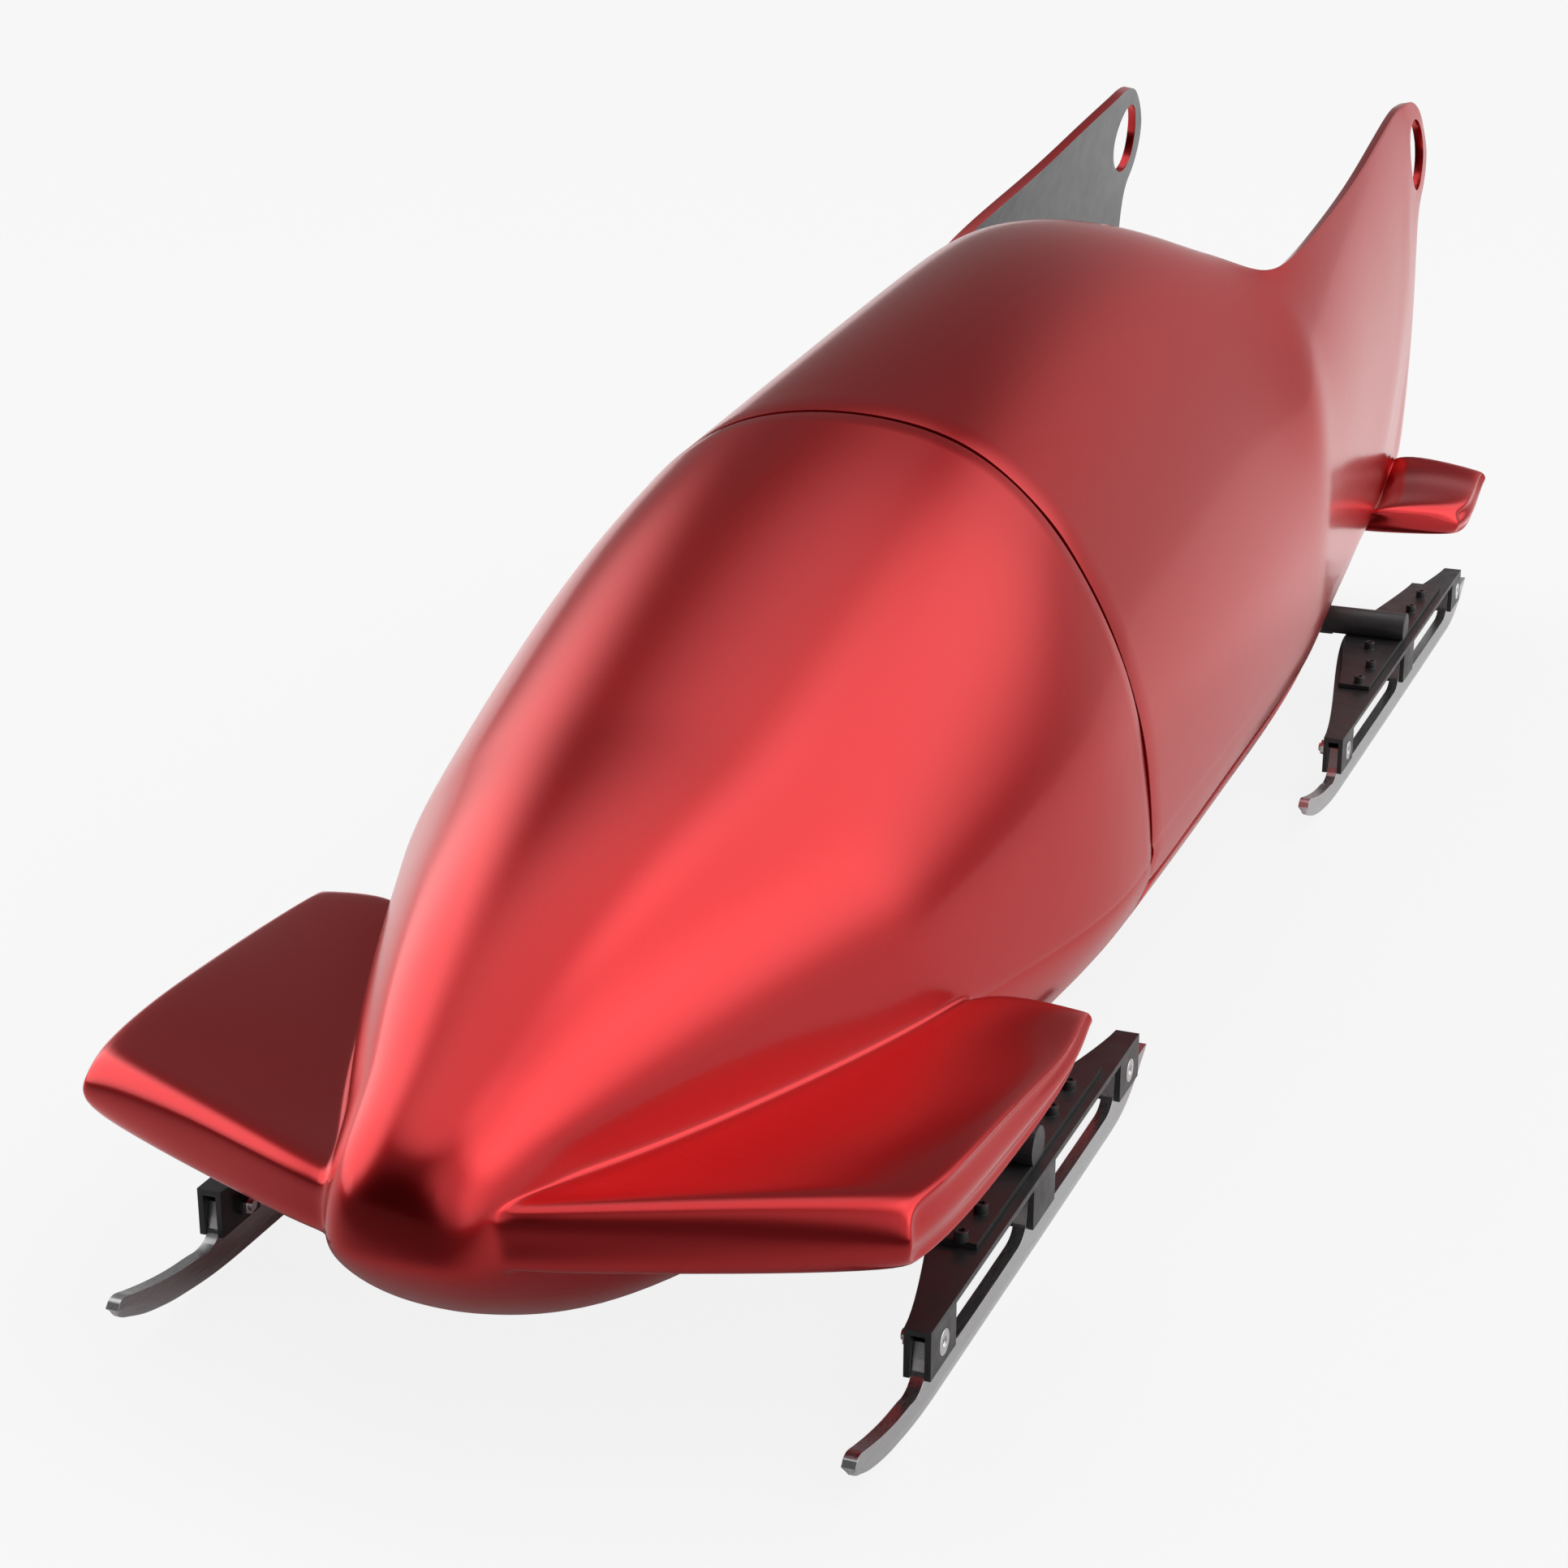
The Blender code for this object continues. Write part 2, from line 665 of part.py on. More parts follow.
def hull_point(ring, row):
    """A design point of the hull shell's right half."""
    y, top, middle, low, edge = HULL_RINGS[ring]
    rim_row = HULL_DECK_ROWS
    band_row = rim_row + HULL_SIDE_ROWS
    section = section_at(y)
    if row >= band_row:
        height = (top, middle, low, edge)[row - band_row]
        return skin(section, angle_at(section, height))
    if ring < LIP_RING:
        if row <= rim_row:
            return skin(section, RIM_ANGLE * row / rim_row)
        share = (row - rim_row) / HULL_SIDE_ROWS
        top_angle = angle_at(section, top)
        return skin(section, RIM_ANGLE + (top_angle - RIM_ANGLE) * share)
    if row < rim_row:
        return Vector(LIP[row]) if ring == LIP_RING else None
    rim = Vector(RIM[ring - LIP_RING])
    if row == rim_row:
        return rim
    share = (row - rim_row) / HULL_SIDE_ROWS
    if ring >= FIN_RING and row - rim_row - 1 < len(FIN_ROWS):
        place_on_fin = FIN_ROWS[row - rim_row - 1][ring - FIN_RING]
        if place_on_fin is None:
            return None
        y, z = place_on_fin
    else:
        eased = share**1.25
        y = rim.y + (y - rim.y) * min(1.0, share * 2)
        z = rim.z + (top - rim.z) * eased
    here = section_at(min(y, SECTIONS[-1][0]))
    point = skin(here, angle_at(here, z))
    at_rim = skin(here, angle_at(here, rim.z))
    point.x *= 1 + (rim.x / at_rim.x - 1) * max(0.0, 1 - share * 1.4)
    point.y = y
    return point


def hull_cage():
    cage = Cage()
    rim_row = HULL_DECK_ROWS
    band_row = rim_row + HULL_SIDE_ROWS
    rows = band_row + 3
    for ring in range(len(HULL_RINGS)):
        for row in range(rows + 1):
            point = hull_point(ring, row)
            if point is None:
                continue
            cage.add((ring, row), point)
            cage.add((ring, -row), (-point.x, point.y, point.z))
    hole_rings = (FIN_RING + 1, FIN_RING + 2)
    hole_rows = (rim_row + 1, rim_row + 2)
    wing_first, wing_last = REAR_WING_RINGS

    def left_out(ring, row):
        in_cockpit = ring >= LIP_RING and row < rim_row
        in_hole = ring in hole_rings and row in hole_rows
        in_wing = wing_first <= ring < wing_last and row in (band_row, band_row + 1)
        return in_cockpit or in_hole or in_wing

    cage.grid(len(HULL_RINGS), rows, left_out, closed=False)
    for side in (1, -1):
        cage.wing(side, REAR_WING_RINGS, band_row, REAR_WING_TIP, REAR_WING_LOOPS)
    return cage


def lower_edge(y):
    """Height of the hull shell's lower edge at y."""
    for (y0, *_, z0), (y1, *_, z1) in zip(HULL_RINGS, HULL_RINGS[1:]):
        if y <= y1:
            return z0 + (z1 - z0) * (y - y0) / (y1 - y0)
    return HULL_RINGS[-1][-1]


def belly_cage():
    cage = Cage()
    for ring, y in enumerate(BELLY_RINGS):
        section = section_at(y)
        start = angle_at(section, lower_edge(y) - SLIT)
        for row, angle in enumerate(reversed(spread(start, math.pi, BELLY_ROWS))):
            point = skin(section, angle)
            cage.add((ring, row), point)
            cage.add((ring, -row), (-point.x, point.y, point.z))
    cage.grid(len(BELLY_RINGS), BELLY_ROWS, lambda ring, row: False, closed=False)
    return cage


NOSE = nose_cage()
HULL = hull_cage()
BELLY = belly_cage()


def make_shells():
    nose = NOSE.shell("nose_cowling", RED, NOSE_WALL)
    slot = AXLE_RADIUS + 0.0135
    cuts = [
        block(
            f"knuckle_slot_{side}",
            (min(side * 0.100, side * 0.36), FRONT_AXLE_Y - slot, 0.040),
            (max(side * 0.100, side * 0.36), FRONT_AXLE_Y + slot, 0.1340),
        )
        for side in (1, -1)
    ]
    past_nose = block("past_nose", (-0.5, SEAM_Y - SEAM_GAP / 2, 0), (0.5, SEAM_Y + 0.05, 0.9))
    combine(nose, cuts + [past_nose], "DIFFERENCE")
    before_hull = ((-0.5, SEAM_Y - 0.05, 0), (0.5, SEAM_Y + SEAM_GAP / 2, 0.9))
    hull = HULL.shell("hull_cowling", RED, HULL_WALL)
    combine(hull, [block("before_hull", *before_hull)], "DIFFERENCE")
    belly = BELLY.shell("belly_pan", RED, BELLY_WALL, levels=0)
    axle_slot = block(
        "axle_slot",
        (-0.36, REAR_AXLE_Y - AXLE_RADIUS - 0.003, 0.050),
        (0.36, REAR_AXLE_Y + AXLE_RADIUS + 0.003, AXLE_Z + AXLE_RADIUS + 0.003),
    )
    slot_ends = (BRAKE_AXLE_Y + 0.015, BRAKE_AXLE_Y + 0.265)
    claw_slot = block("claw_slot", (-0.055, slot_ends[0], 0.050), (0.055, slot_ends[1], 0.200))
    combine(belly, [axle_slot, claw_slot, block("before_belly", *before_hull)], "DIFFERENCE")


def mirror_x(side, low, high):
    """The same block on the right (side 1) or on the left (side -1)."""
    if side > 0:
        return low, high
    return (-high[0], low[1], low[2]), (-low[0], high[1], high[2])


def flat(side):
    """Places an outline that is drawn in plan."""
    return lambda u, v, w: Vector((side * u, v, w))


def upright(side):
    """Places an outline that is drawn from the side."""
    return lambda u, v, w: Vector((side * w, u, v))


def leg_spans(ends, axle_y):
    """Where the three legs of a carrier stand along the sled."""
    front, rear = ends
    half = LEG_LENGTH / 2
    return [(front, front + LEG_LENGTH), (axle_y - half, axle_y + half), (rear - LEG_LENGTH, rear)]


def inner_edge(ends, axle_y, outer, narrow, widest, steps=7):
    """A leaf-shaped plate in plan: straight outside, and swelling inwards at the axle."""
    front, rear = ends
    outline = [(outer, front), (outer, rear)]
    for step in range(steps + 1):
        y = rear + (front - rear) * step / steps
        reach = (y - axle_y) / ((rear if y > axle_y else front) - axle_y)
        swell = (1 - abs(reach) ** 2.0) ** 1.2 if abs(reach) < 1 else 0.0
        outline.append((narrow - (narrow - widest) * swell, y))
    return outline


def make_carrier(name, side, ends, axle_y):
    centre = GAUGE / 2
    inside = centre - RUNNER_WIDTH / 2 - GAP
    outside = centre + RUNNER_WIDTH / 2 + GAP
    inner = inside - CARRIER_WALL
    outer = outside + CARRIER_WALL
    web = CARRIER_TOP - CARRIER_WEB
    outline = inner_edge(ends, axle_y, outer, inner, centre - CARRIER_WIDEST + 0.012)
    plate = slab(name, outline, (web, CARRIER_TOP), flat(side), BLACK, SLED)
    legs = []
    for number, (start, end) in enumerate(leg_spans(ends, axle_y)):
        for wall, (low_x, high_x) in enumerate(((inner, inside), (outside, outer))):
            low, high = mirror_x(side, (low_x, start, LEG_BOTTOM), (high_x, end, web + CARRIER_WEB / 2))
            legs.append(block(f"{name}_leg_{number}_{wall}", low, high))
    cuts = []
    for number, y in enumerate(END_BOLTS[ends]):
        tip = (side * (inner - BOSS_LENGTH), y, END_BOLT_Z)
        root = (side * (inner + 0.002), y, END_BOLT_Z)
        legs.append(rod(f"{name}_boss_{number}", tip, root, BOSS_RADIUS, sides=12))
        past_inside = side * (inner - BOSS_LENGTH - 0.01)
        through = ((past_inside, y, END_BOLT_Z), (side * (outer + 0.01), y, END_BOLT_Z))
        cuts.append(rod(f"{name}_bore_{number}", *through, END_BOLT_RADIUS + GAP, sides=8))
        sink = ((side * (outer - 0.0038), y, END_BOLT_Z), (side * (outer + 0.01), y, END_BOLT_Z))
        cuts.append(rod(f"{name}_sink_{number}", *sink, END_BOLT_HEAD + GAP, sides=12))
    combine(plate, legs, "UNION")
    combine(plate, cuts, "DIFFERENCE")
    return plate


def make_runner(name, side, ends, axle_y):
    """A steel blade with a straight sole, an upswept toe and three posts that rise into the carrier."""
    toe, heel = RUNNER_ENDS[ends]
    outline = [
        (toe, RUNNER_TOE_Z),
        (toe - 0.001, 0.046),
        (toe + 0.007, 0.0374),
        (toe + 0.045, 0.0215),
        (toe + 0.100, 0.0085),
        (toe + 0.155, 0.0020),
        (toe + 0.210, 0.0),
        (heel - 0.110, 0.0),
        (heel - 0.065, 0.0045),
        (heel - 0.0275, 0.0190),
        (heel - 0.008, 0.0370),
        (heel, 0.0460),
    ]
    top = CARRIER_TOP - CARRIER_WEB - GAP
    for start, end in reversed(leg_spans(ends, axle_y)):
        outline += [(end - 0.004, RUNNER_TOP), (end - 0.006, top)]
        outline += [(start + 0.006, top), (start + 0.004, RUNNER_TOP)]
    centre = GAUGE / 2
    across = (centre - RUNNER_WIDTH / 2, centre + RUNNER_WIDTH / 2)
    blade = slab(name, outline, across, upright(side), STEEL, SLED, bevel=RUNNER_CHAMFER)
    bores = []
    for number, y in enumerate(END_BOLTS[ends]):
        through = ((side * (centre - 0.05), y, END_BOLT_Z), (side * (centre + 0.05), y, END_BOLT_Z))
        bores.append(rod(f"{name}_bore_{number}", *through, END_BOLT_RADIUS + GAP, sides=8))
    combine(blade, bores, "DIFFERENCE")
    return blade


def make_end_fasteners(name, side, ends):
    centre = GAUGE / 2
    outer = centre + RUNNER_WIDTH / 2 + GAP + CARRIER_WALL
    boss = centre - RUNNER_WIDTH / 2 - GAP - CARRIER_WALL - BOSS_LENGTH
    made = []
    for end, y in zip(("front", "rear"), END_BOLTS[ends]):
        tip = (side * (boss - NUT_LENGTH - 0.003), y, END_BOLT_Z)
        seat = (side * (outer - 0.0034), y, END_BOLT_Z)
        bolt = rod(f"{name}_{end}_bolt", tip, seat, END_BOLT_RADIUS, CHROME, SLED, sides=8)
        below = (side * (outer - 0.0035), y, END_BOLT_Z)
        head = rod(f"{bolt.name}_head", below, (side * outer, y, END_BOLT_Z), END_BOLT_HEAD, sides=12)
        combine(bolt, [head], "UNION")
        face = (side * (outer - 0.002), y, END_BOLT_Z)
        socket = rod(f"{bolt.name}_socket", face, (side * (outer + 0.01), y, END_BOLT_Z), 0.0042, sides=6)
        combine(bolt, [socket], "DIFFERENCE")
        low = (side * (boss - GAP), y, END_BOLT_Z)
        high = (side * (boss - GAP - NUT_LENGTH), y, END_BOLT_Z)
        nut = rod(f"{name}_{end}_nut", high, low, 0.0098, STEEL, SLED, sides=6)
        bore = rod(f"{nut.name}_bore", tip, (side * centre, y, END_BOLT_Z), END_BOLT_RADIUS + GAP, sides=8)
        combine(nut, [bore], "DIFFERENCE")
        made += [bolt, nut]
    return made


def make_saddle(name, side, ends, axle_y):
    """The plate bolted on a carrier, on which the round axle end lies between two cheeks."""
    centre = GAUGE / 2
    outer = centre + 0.0025
    reach = 0.2435 if ends == REAR_CARRIER else 0.190
    plate_ends = (axle_y - reach + 0.0225, axle_y + reach + 0.0225)
    bottom = CARRIER_TOP + GAP
    top = bottom + SADDLE_PLATE
    outline = inner_edge(plate_ends, axle_y, outer, centre - 0.038, centre - CARRIER_WIDEST + 0.015)
    plate = slab(name, outline, (bottom, top), flat(side), BLACK, SLED)
    heads = []
    places = [(0.322, -0.211), (0.3225, -0.142), (0.304, -0.061), (0.3225, 0.126), (0.322, 0.200)]
    for number, (x, along) in enumerate(places):
        y = axle_y + along * reach / 0.2435
        low = (side * (x + centre - 0.335), y, top - 0.001)
        high = (low[0], y, top + SADDLE_HEAD)
        heads.append(rod(f"{name}_screw_{number}", low, high, SADDLE_HEAD_RADIUS, sides=8))
    combine(plate, heads, "UNION")
    return plate


def make_running_gear():
    """Carrier, saddle, runner and fasteners on each corner, hung on the axle's pitch axis."""
    for end, ends, axle_y in (("front", FRONT_CARRIER, FRONT_AXLE_Y), ("rear", REAR_CARRIER, REAR_AXLE_Y)):
        for hand, side in (("left", 1), ("right", -1)):
            corner = f"{end}_{hand}"
            axis = pivot(f"{corner}_pitch_axis", (side * GAUGE / 2, axle_y, AXLE_Z))
            pieces = [
                make_carrier(f"{corner}_carrier", side, ends, axle_y),
                make_saddle(f"{corner}_saddle", side, ends, axle_y),
                make_runner(f"{corner}_runner", side, ends, axle_y),
            ]
            pieces += make_end_fasteners(corner, side, ends)
            for piece in pieces:
                hang(piece, axis)


def axle_flat(name, side, axle_y):
    """Cuts the round axle end flat where it lies over its saddle."""
    low, high = mirror_x(
        side,
        (GAUGE / 2 - CARRIER_WIDEST - 0.004, axle_y - 0.03, 0.06),
        (GAUGE / 2 + 0.05, axle_y + 0.03, CARRIER_TOP + GAP + SADDLE_PLATE + SEAT_GAP),
    )
    return block(name, low, high)


def make_rear_axle():
    end = GAUGE / 2 + AXLE_END
    ends = ((-end, REAR_AXLE_Y, AXLE_Z), (end, REAR_AXLE_Y, AXLE_Z))
    axle = rod("rear_axle", *ends, AXLE_RADIUS, STEEL, SLED, sides=24)
    combine(axle, [axle_flat(f"rear_axle_flat_{side}", side, REAR_AXLE_Y) for side in (1, -1)], "DIFFERENCE")


def shell_cutters():
    """The shells with a small margin, which trim the frames to fit inside them."""
    nose = NOSE.shell("nose_margin", None, NOSE_WALL, proud=MARGIN_IN, collection=CUTTERS)
    hull = HULL.shell("hull_margin", None, HULL_WALL, proud=MARGIN_IN, collection=CUTTERS)
    belly = BELLY.shell("belly_margin", None, BELLY_WALL, levels=0, proud=MARGIN_IN, collection=CUTTERS)
    return nose, hull, belly


def wall_middle(y, z, wall):
    """Half the sled's width at y and z, to the middle of a shell's wall."""
    section = section_at(y)
    return skin(section, angle_at(section, z)).x - wall / 2


def rear_cross(name, y, low_z, high_z, length):
    """A cross member from wall to wall."""
    reach = wall_middle(y, low_z, HULL_WALL)
    return block(name, (-reach, y - length / 2, low_z), (reach, y + length / 2, high_z))


def make_rear_frame(hull_margin, belly_margin):
    rail_in = RAIL_X - RAIL_WIDTH / 2
    rail_out = RAIL_X + RAIL_WIDTH / 2
    front = SEAM_Y + 0.028
    rear = RAIL_END
    frame = block("rear_frame", (rail_in, front, RAIL_BOTTOM), (rail_out, rear, RAIL_TOP), ALLOY, SLED)
    parts = [block("left_rail", (-rail_out, front, RAIL_BOTTOM), (-rail_in, rear, RAIL_TOP))]
    middle = (RAIL_BOTTOM + RAIL_TOP) / 2
    bridges = ((front + 0.030, 0.060), (0.450, 0.030), (BRAKE_AXLE_Y - 0.090, 0.020))
    for number, (y, length) in enumerate(bridges):
        low = (-RAIL_X, y - length / 2, RAIL_BOTTOM + 0.002)
        high = (RAIL_X, y + length / 2, RAIL_TOP - 0.002)
        parts.append(block(f"frame_bridge_{number}", low, high))
    for number, y in enumerate((-0.300, 0.300, 0.700, 0.960)):
        low_z = max(middle, lower_edge(y) + CROSS_ABOVE_EDGE)
        parts.append(rear_cross(f"frame_cross_{number}", y, low_z, low_z + 0.024, 0.030))
        for side in (1, -1):
            post_low = (rail_in + 0.002, y - 0.012, middle)
            post_high = (rail_out - 0.002, y + 0.012, low_z + 0.012)
            low, high = mirror_x(side, post_low, post_high)
            parts.append(block(f"frame_post_{number}_{side}", low, high))
    for number, y in enumerate((-0.300, 0.300, 0.700, 1.000)):
        bottom = section_at(y + 0.020)[3] + BELLY_WALL
        for side in (1, -1):
            foot_low = (rail_in + 0.003, y - 0.020, bottom)
            foot_high = (rail_out - 0.003, y + 0.020, middle)
            low, high = mirror_x(side, foot_low, foot_high)
            parts.append(block(f"frame_foot_{number}_{side}", low, high))
    for side in (1, -1):
        low, high = mirror_x(
            side,
            (rail_in + 0.001, REAR_AXLE_Y - 0.035, AXLE_Z - 0.004),
            (rail_out - 0.001, REAR_AXLE_Y + 0.035, middle),
        )
        parts.append(block(f"axle_clamp_{side}", low, high))
    bush_end = front + HOUSING_LENGTH
    housing = rod("pivot_housing", (0, front + 0.001, ROLL_Z), (0, bush_end, ROLL_Z), 0.042, sides=24)
    parts.append(housing)
    combine(frame, parts, "UNION")
    ends = GAUGE / 2 + AXLE_END + 0.01
    across = ((-ends, REAR_AXLE_Y, AXLE_Z), (ends, REAR_AXLE_Y, AXLE_Z))
    axle = rod("axle_bore", *across, AXLE_RADIUS + GAP, sides=24)
    along = ((0, front - 0.01, ROLL_Z), (0, bush_end + 0.01, ROLL_Z))
    bore = rod("bush_bore", *along, BUSH_RADIUS + GAP, sides=24)
    combine(frame, [axle, bore], "DIFFERENCE")
    combine(frame, [hull_margin, belly_margin], "DIFFERENCE")
    bush_ends = ((0, front + 0.003, ROLL_Z), (0, bush_end - 0.002, ROLL_Z))
    bush = rod("articulation_bush", *bush_ends, BUSH_RADIUS, BRONZE, SLED)
    inside = rod("bush_inside", (0, front - 0.02, ROLL_Z), (0, bush_end + 0.02, ROLL_Z), PIN_RADIUS + GAP)
    combine(bush, [inside], "DIFFERENCE")
    return bush_end


def make_front_frame(nose_margin, bush_end):
    """The front frame turns about the articulation pin, which runs in the rear frame's bush."""
    front = -1.220
    rear = SEAM_Y - 0.012
    axis = pivot("roll_axis", (0, SEAM_Y, ROLL_Z))
    frame = block("front_frame", (-0.035, front, SPINE_BOTTOM), (0.035, rear, SPINE_TOP), ALLOY, SLED)
    parts = [block("front_flange", (-0.045, rear - 0.030, ROLL_Z - 0.045), (0.045, rear - 0.0004, 0.212))]
    tie_y = FRONT_AXLE_Y + ARM_LENGTH
    for number, y in enumerate((-1.150, tie_y + 0.0715, -0.470)):
        bottom = section_at(y)[3] + NOSE_WALL / 2
        parts.append(block(f"front_post_{number}", (-0.033, y - 0.015, bottom), (0.033, y + 0.015, 0.200)))
    for number, y in enumerate((-0.630, -0.500)):
        reach = wall_middle(y, 0.230, NOSE_WALL)
        parts.append(block(f"front_cross_{number}", (-reach, y - 0.012, 0.205), (reach, y + 0.012, 0.235)))
    combine(frame, parts, "UNION")
    hole = rod("pin_seat", (0, rear - 0.06, ROLL_Z), (0, rear + 0.02, ROLL_Z), PIN_RADIUS + GAP)
    through = ((0, FRONT_AXLE_Y, 0.16), (0, FRONT_AXLE_Y, 0.25))
    lever_hole = rod("lever_pin_seat", *through, LEVER_PIN_RADIUS + GAP, sides=16)
    slot_x = ARM_LENGTH * math.sin(STEER_LIMIT) + STEER_PIN_RADIUS + 2 * PIVOT_CLEARANCE
    slot_y = STEER_PIN_RADIUS + 2 * PIVOT_CLEARANCE
    tie_slot = block("tie_post_slot", (-slot_x, tie_y - slot_y, 0.17), (slot_x, tie_y + slot_y, 0.25))
    combine(frame, [hole, lever_hole, tie_slot], "DIFFERENCE")
    combine(frame, [nose_margin], "DIFFERENCE")
    hang(frame, axis)
    pin_ends = ((0, rear - 0.036, ROLL_Z), (0, bush_end + PIN_PROUD, ROLL_Z))
    pin = rod("articulation_pin", *pin_ends, PIN_RADIUS, STEEL, SLED)
    hang(pin, axis)
    return axis


def make_front_axle(roll_axis):
    """The beam that holds both kingpins, the knuckles below it, and the rods that turn them."""
    beam = block(
        "front_axle",
        (-KINGPIN_X - 0.024, FRONT_AXLE_Y - 0.024, BEAM_BOTTOM),
        (KINGPIN_X + 0.024, FRONT_AXLE_Y + 0.024, BEAM_TOP),
        ALLOY,
        SLED,
    )
    low = (-0.030, FRONT_AXLE_Y - 0.020, BEAM_TOP - 0.002)
    high = (0.030, FRONT_AXLE_Y + 0.020, SPINE_BOTTOM - GAP)
    riser = block("beam_riser", low, high)
    combine(beam, [riser], "UNION")
    hang(beam, roll_axis)
    through = ((0, FRONT_AXLE_Y, 0.10), (0, FRONT_AXLE_Y, 0.25))
    bores = [rod("lever_pin_bore", *through, LEVER_PIN_RADIUS + GAP, sides=16)]
    for side in (1, -1):
        x = side * KINGPIN_X
        through = ((x, FRONT_AXLE_Y, 0.1), (x, FRONT_AXLE_Y, 0.25))
        bores.append(rod(f"kingpin_bore_{side}", *through, KINGPIN_RADIUS + GAP))
    combine(beam, bores, "DIFFERENCE")
    for hand, side in (("left", 1), ("right", -1)):
        make_knuckle(hand, side, roll_axis)


def make_knuckle(hand, side, roll_axis):
    x = side * KINGPIN_X
    y = FRONT_AXLE_Y
    pin = rod(
        f"kingpin_{hand}",
        (x, y, KNUCKLE_BOTTOM - 0.003),
        (x, y, BEAM_TOP + 0.006),
        KINGPIN_RADIUS,
        STEEL,
        SLED,
    )
    head = rod(f"kingpin_head_{hand}", (x, y, KNUCKLE_BOTTOM - 0.0075), (x, y, KNUCKLE_BOTTOM - 0.001), 0.015)
    nut = rod(f"kingpin_nut_{hand}", (x, y, BEAM_TOP + GAP), (x, y, BEAM_TOP + 0.010), 0.016, sides=6)
    combine(pin, [head, nut], "UNION")
    hang(pin, roll_axis)
    knuckle = rod(f"knuckle_{hand}", (x, y, KNUCKLE_BOTTOM), (x, y, KNUCKLE_TOP), KNUCKLE_RADIUS, STEEL, SLED)
    end = side * (GAUGE / 2 + AXLE_END)
    stub_axis = rod(f"stub_axis_{hand}", (x, y, AXLE_Z), (end, y, AXLE_Z), AXLE_RADIUS, sides=24)
    arm_low, arm_high = mirror_x(
        side,
        (KINGPIN_X - 0.009, y, KNUCKLE_TOP - ARM_THICK - ARM_BELOW),
        (KINGPIN_X + 0.009, y + ARM_LENGTH + 0.012, KNUCKLE_TOP - ARM_BELOW),
    )
    arm = block(f"arm_{hand}", arm_low, arm_high)
    stud = rod(
        f"stud_{hand}",
        (x, y + ARM_LENGTH, KNUCKLE_TOP - 0.006),
        (x, y + ARM_LENGTH, KNUCKLE_TOP + 0.018),
        STEER_PIN_RADIUS,
        sides=12,
    )
    combine(knuckle, [stub_axis, arm, stud], "UNION")
    bore = rod(f"knuckle_bore_{hand}", (x, y, 0.05), (x, y, 0.2), KINGPIN_RADIUS + GAP)
    trim = block(f"stub_trim_{hand}", (x - 0.03, y - 0.03, 0.05), (x + 0.03, y + 0.03, KNUCKLE_BOTTOM))
    combine(knuckle, [bore, trim, axle_flat(f"stub_flat_{hand}", side, y)], "DIFFERENCE")
    axis = pivot(f"steering_axis_{hand}", (x, y, 0))
    axis.parent = roll_axis
    axis.matrix_parent_inverse.translation = -roll_axis.location
    hang(knuckle, axis)


def make_steering(roll_axis):
    """Bell crank, tie rod, and the two pull rods that end in the driver's D-rings."""
    y = FRONT_AXLE_Y
    low = KNUCKLE_TOP - ARM_BELOW + GAP
    lever_z = LEVER_Z
    pin_ends = ((0, y, BEAM_BOTTOM + 0.002), (0, y, lever_z + 0.018))
    pin = rod("steering_pin", *pin_ends, LEVER_PIN_RADIUS, STEEL, SLED, sides=16)
    hang(pin, roll_axis)
    axis = pivot("lever_axis", (0, y, lever_z))
    axis.parent = roll_axis
    axis.matrix_parent_inverse.translation = -roll_axis.location
    lever = rod("steering_lever", (0, y, lever_z - 0.003), (0, y, lever_z + 0.013), 0.018, ALLOY, SLED)
    top = lever_z + LEVER_THICK
    arms = [
        block("lever_arm", (-0.009, y, lever_z), (0.009, y + ARM_LENGTH + 0.012, top)),
        block("lever_cross", (-PULL_X - 0.010, y - 0.009, lever_z), (PULL_X + 0.010, y + 0.009, top)),
    ]
    for side in (1, -1):
        x = side * PULL_X
        stud = ((x, y, lever_z + 0.004), (x, y, lever_z + 0.026))
        arms.append(rod(f"pull_stud_{side}", *stud, STEER_PIN_RADIUS, sides=12))
    combine(lever, arms, "UNION")
    through = ((0, y + ARM_LENGTH, 0.1), (0, y + ARM_LENGTH, 0.3))
    eye = rod("lever_eye", *through, STEER_PIN_RADIUS + PIVOT_CLEARANCE, sides=16)
    hub = rod("lever_hub", (0, y, 0.1), (0, y, 0.3), LEVER_PIN_RADIUS + GAP, sides=16)
    combine(lever, [eye, hub], "DIFFERENCE")
    hang(lever, axis)
    make_tie_rod(low, lever_z, roll_axis)
    make_pull_rods(lever_z, roll_axis)


def make_tie_rod(low, lever_z, roll_axis):
    y = FRONT_AXLE_Y + ARM_LENGTH
    end = KINGPIN_X + 0.012
    tie = block("tie_rod", (-end, y - 0.012, low), (end, y + 0.012, low + 0.010), STEEL, SLED)
    post = rod("tie_post", (0, y, low + 0.002), (0, y, lever_z + 0.014), STEER_PIN_RADIUS, sides=12)
    combine(tie, [post], "UNION")
    eyes = []
    for side in (1, -1):
        x = side * KINGPIN_X
        eyes.append(rod(f"tie_eye_{side}", (x, y, 0.1), (x, y, 0.2), STEER_PIN_RADIUS + PIVOT_CLEARANCE))
    combine(tie, eyes, "DIFFERENCE")
    hang(tie, roll_axis)


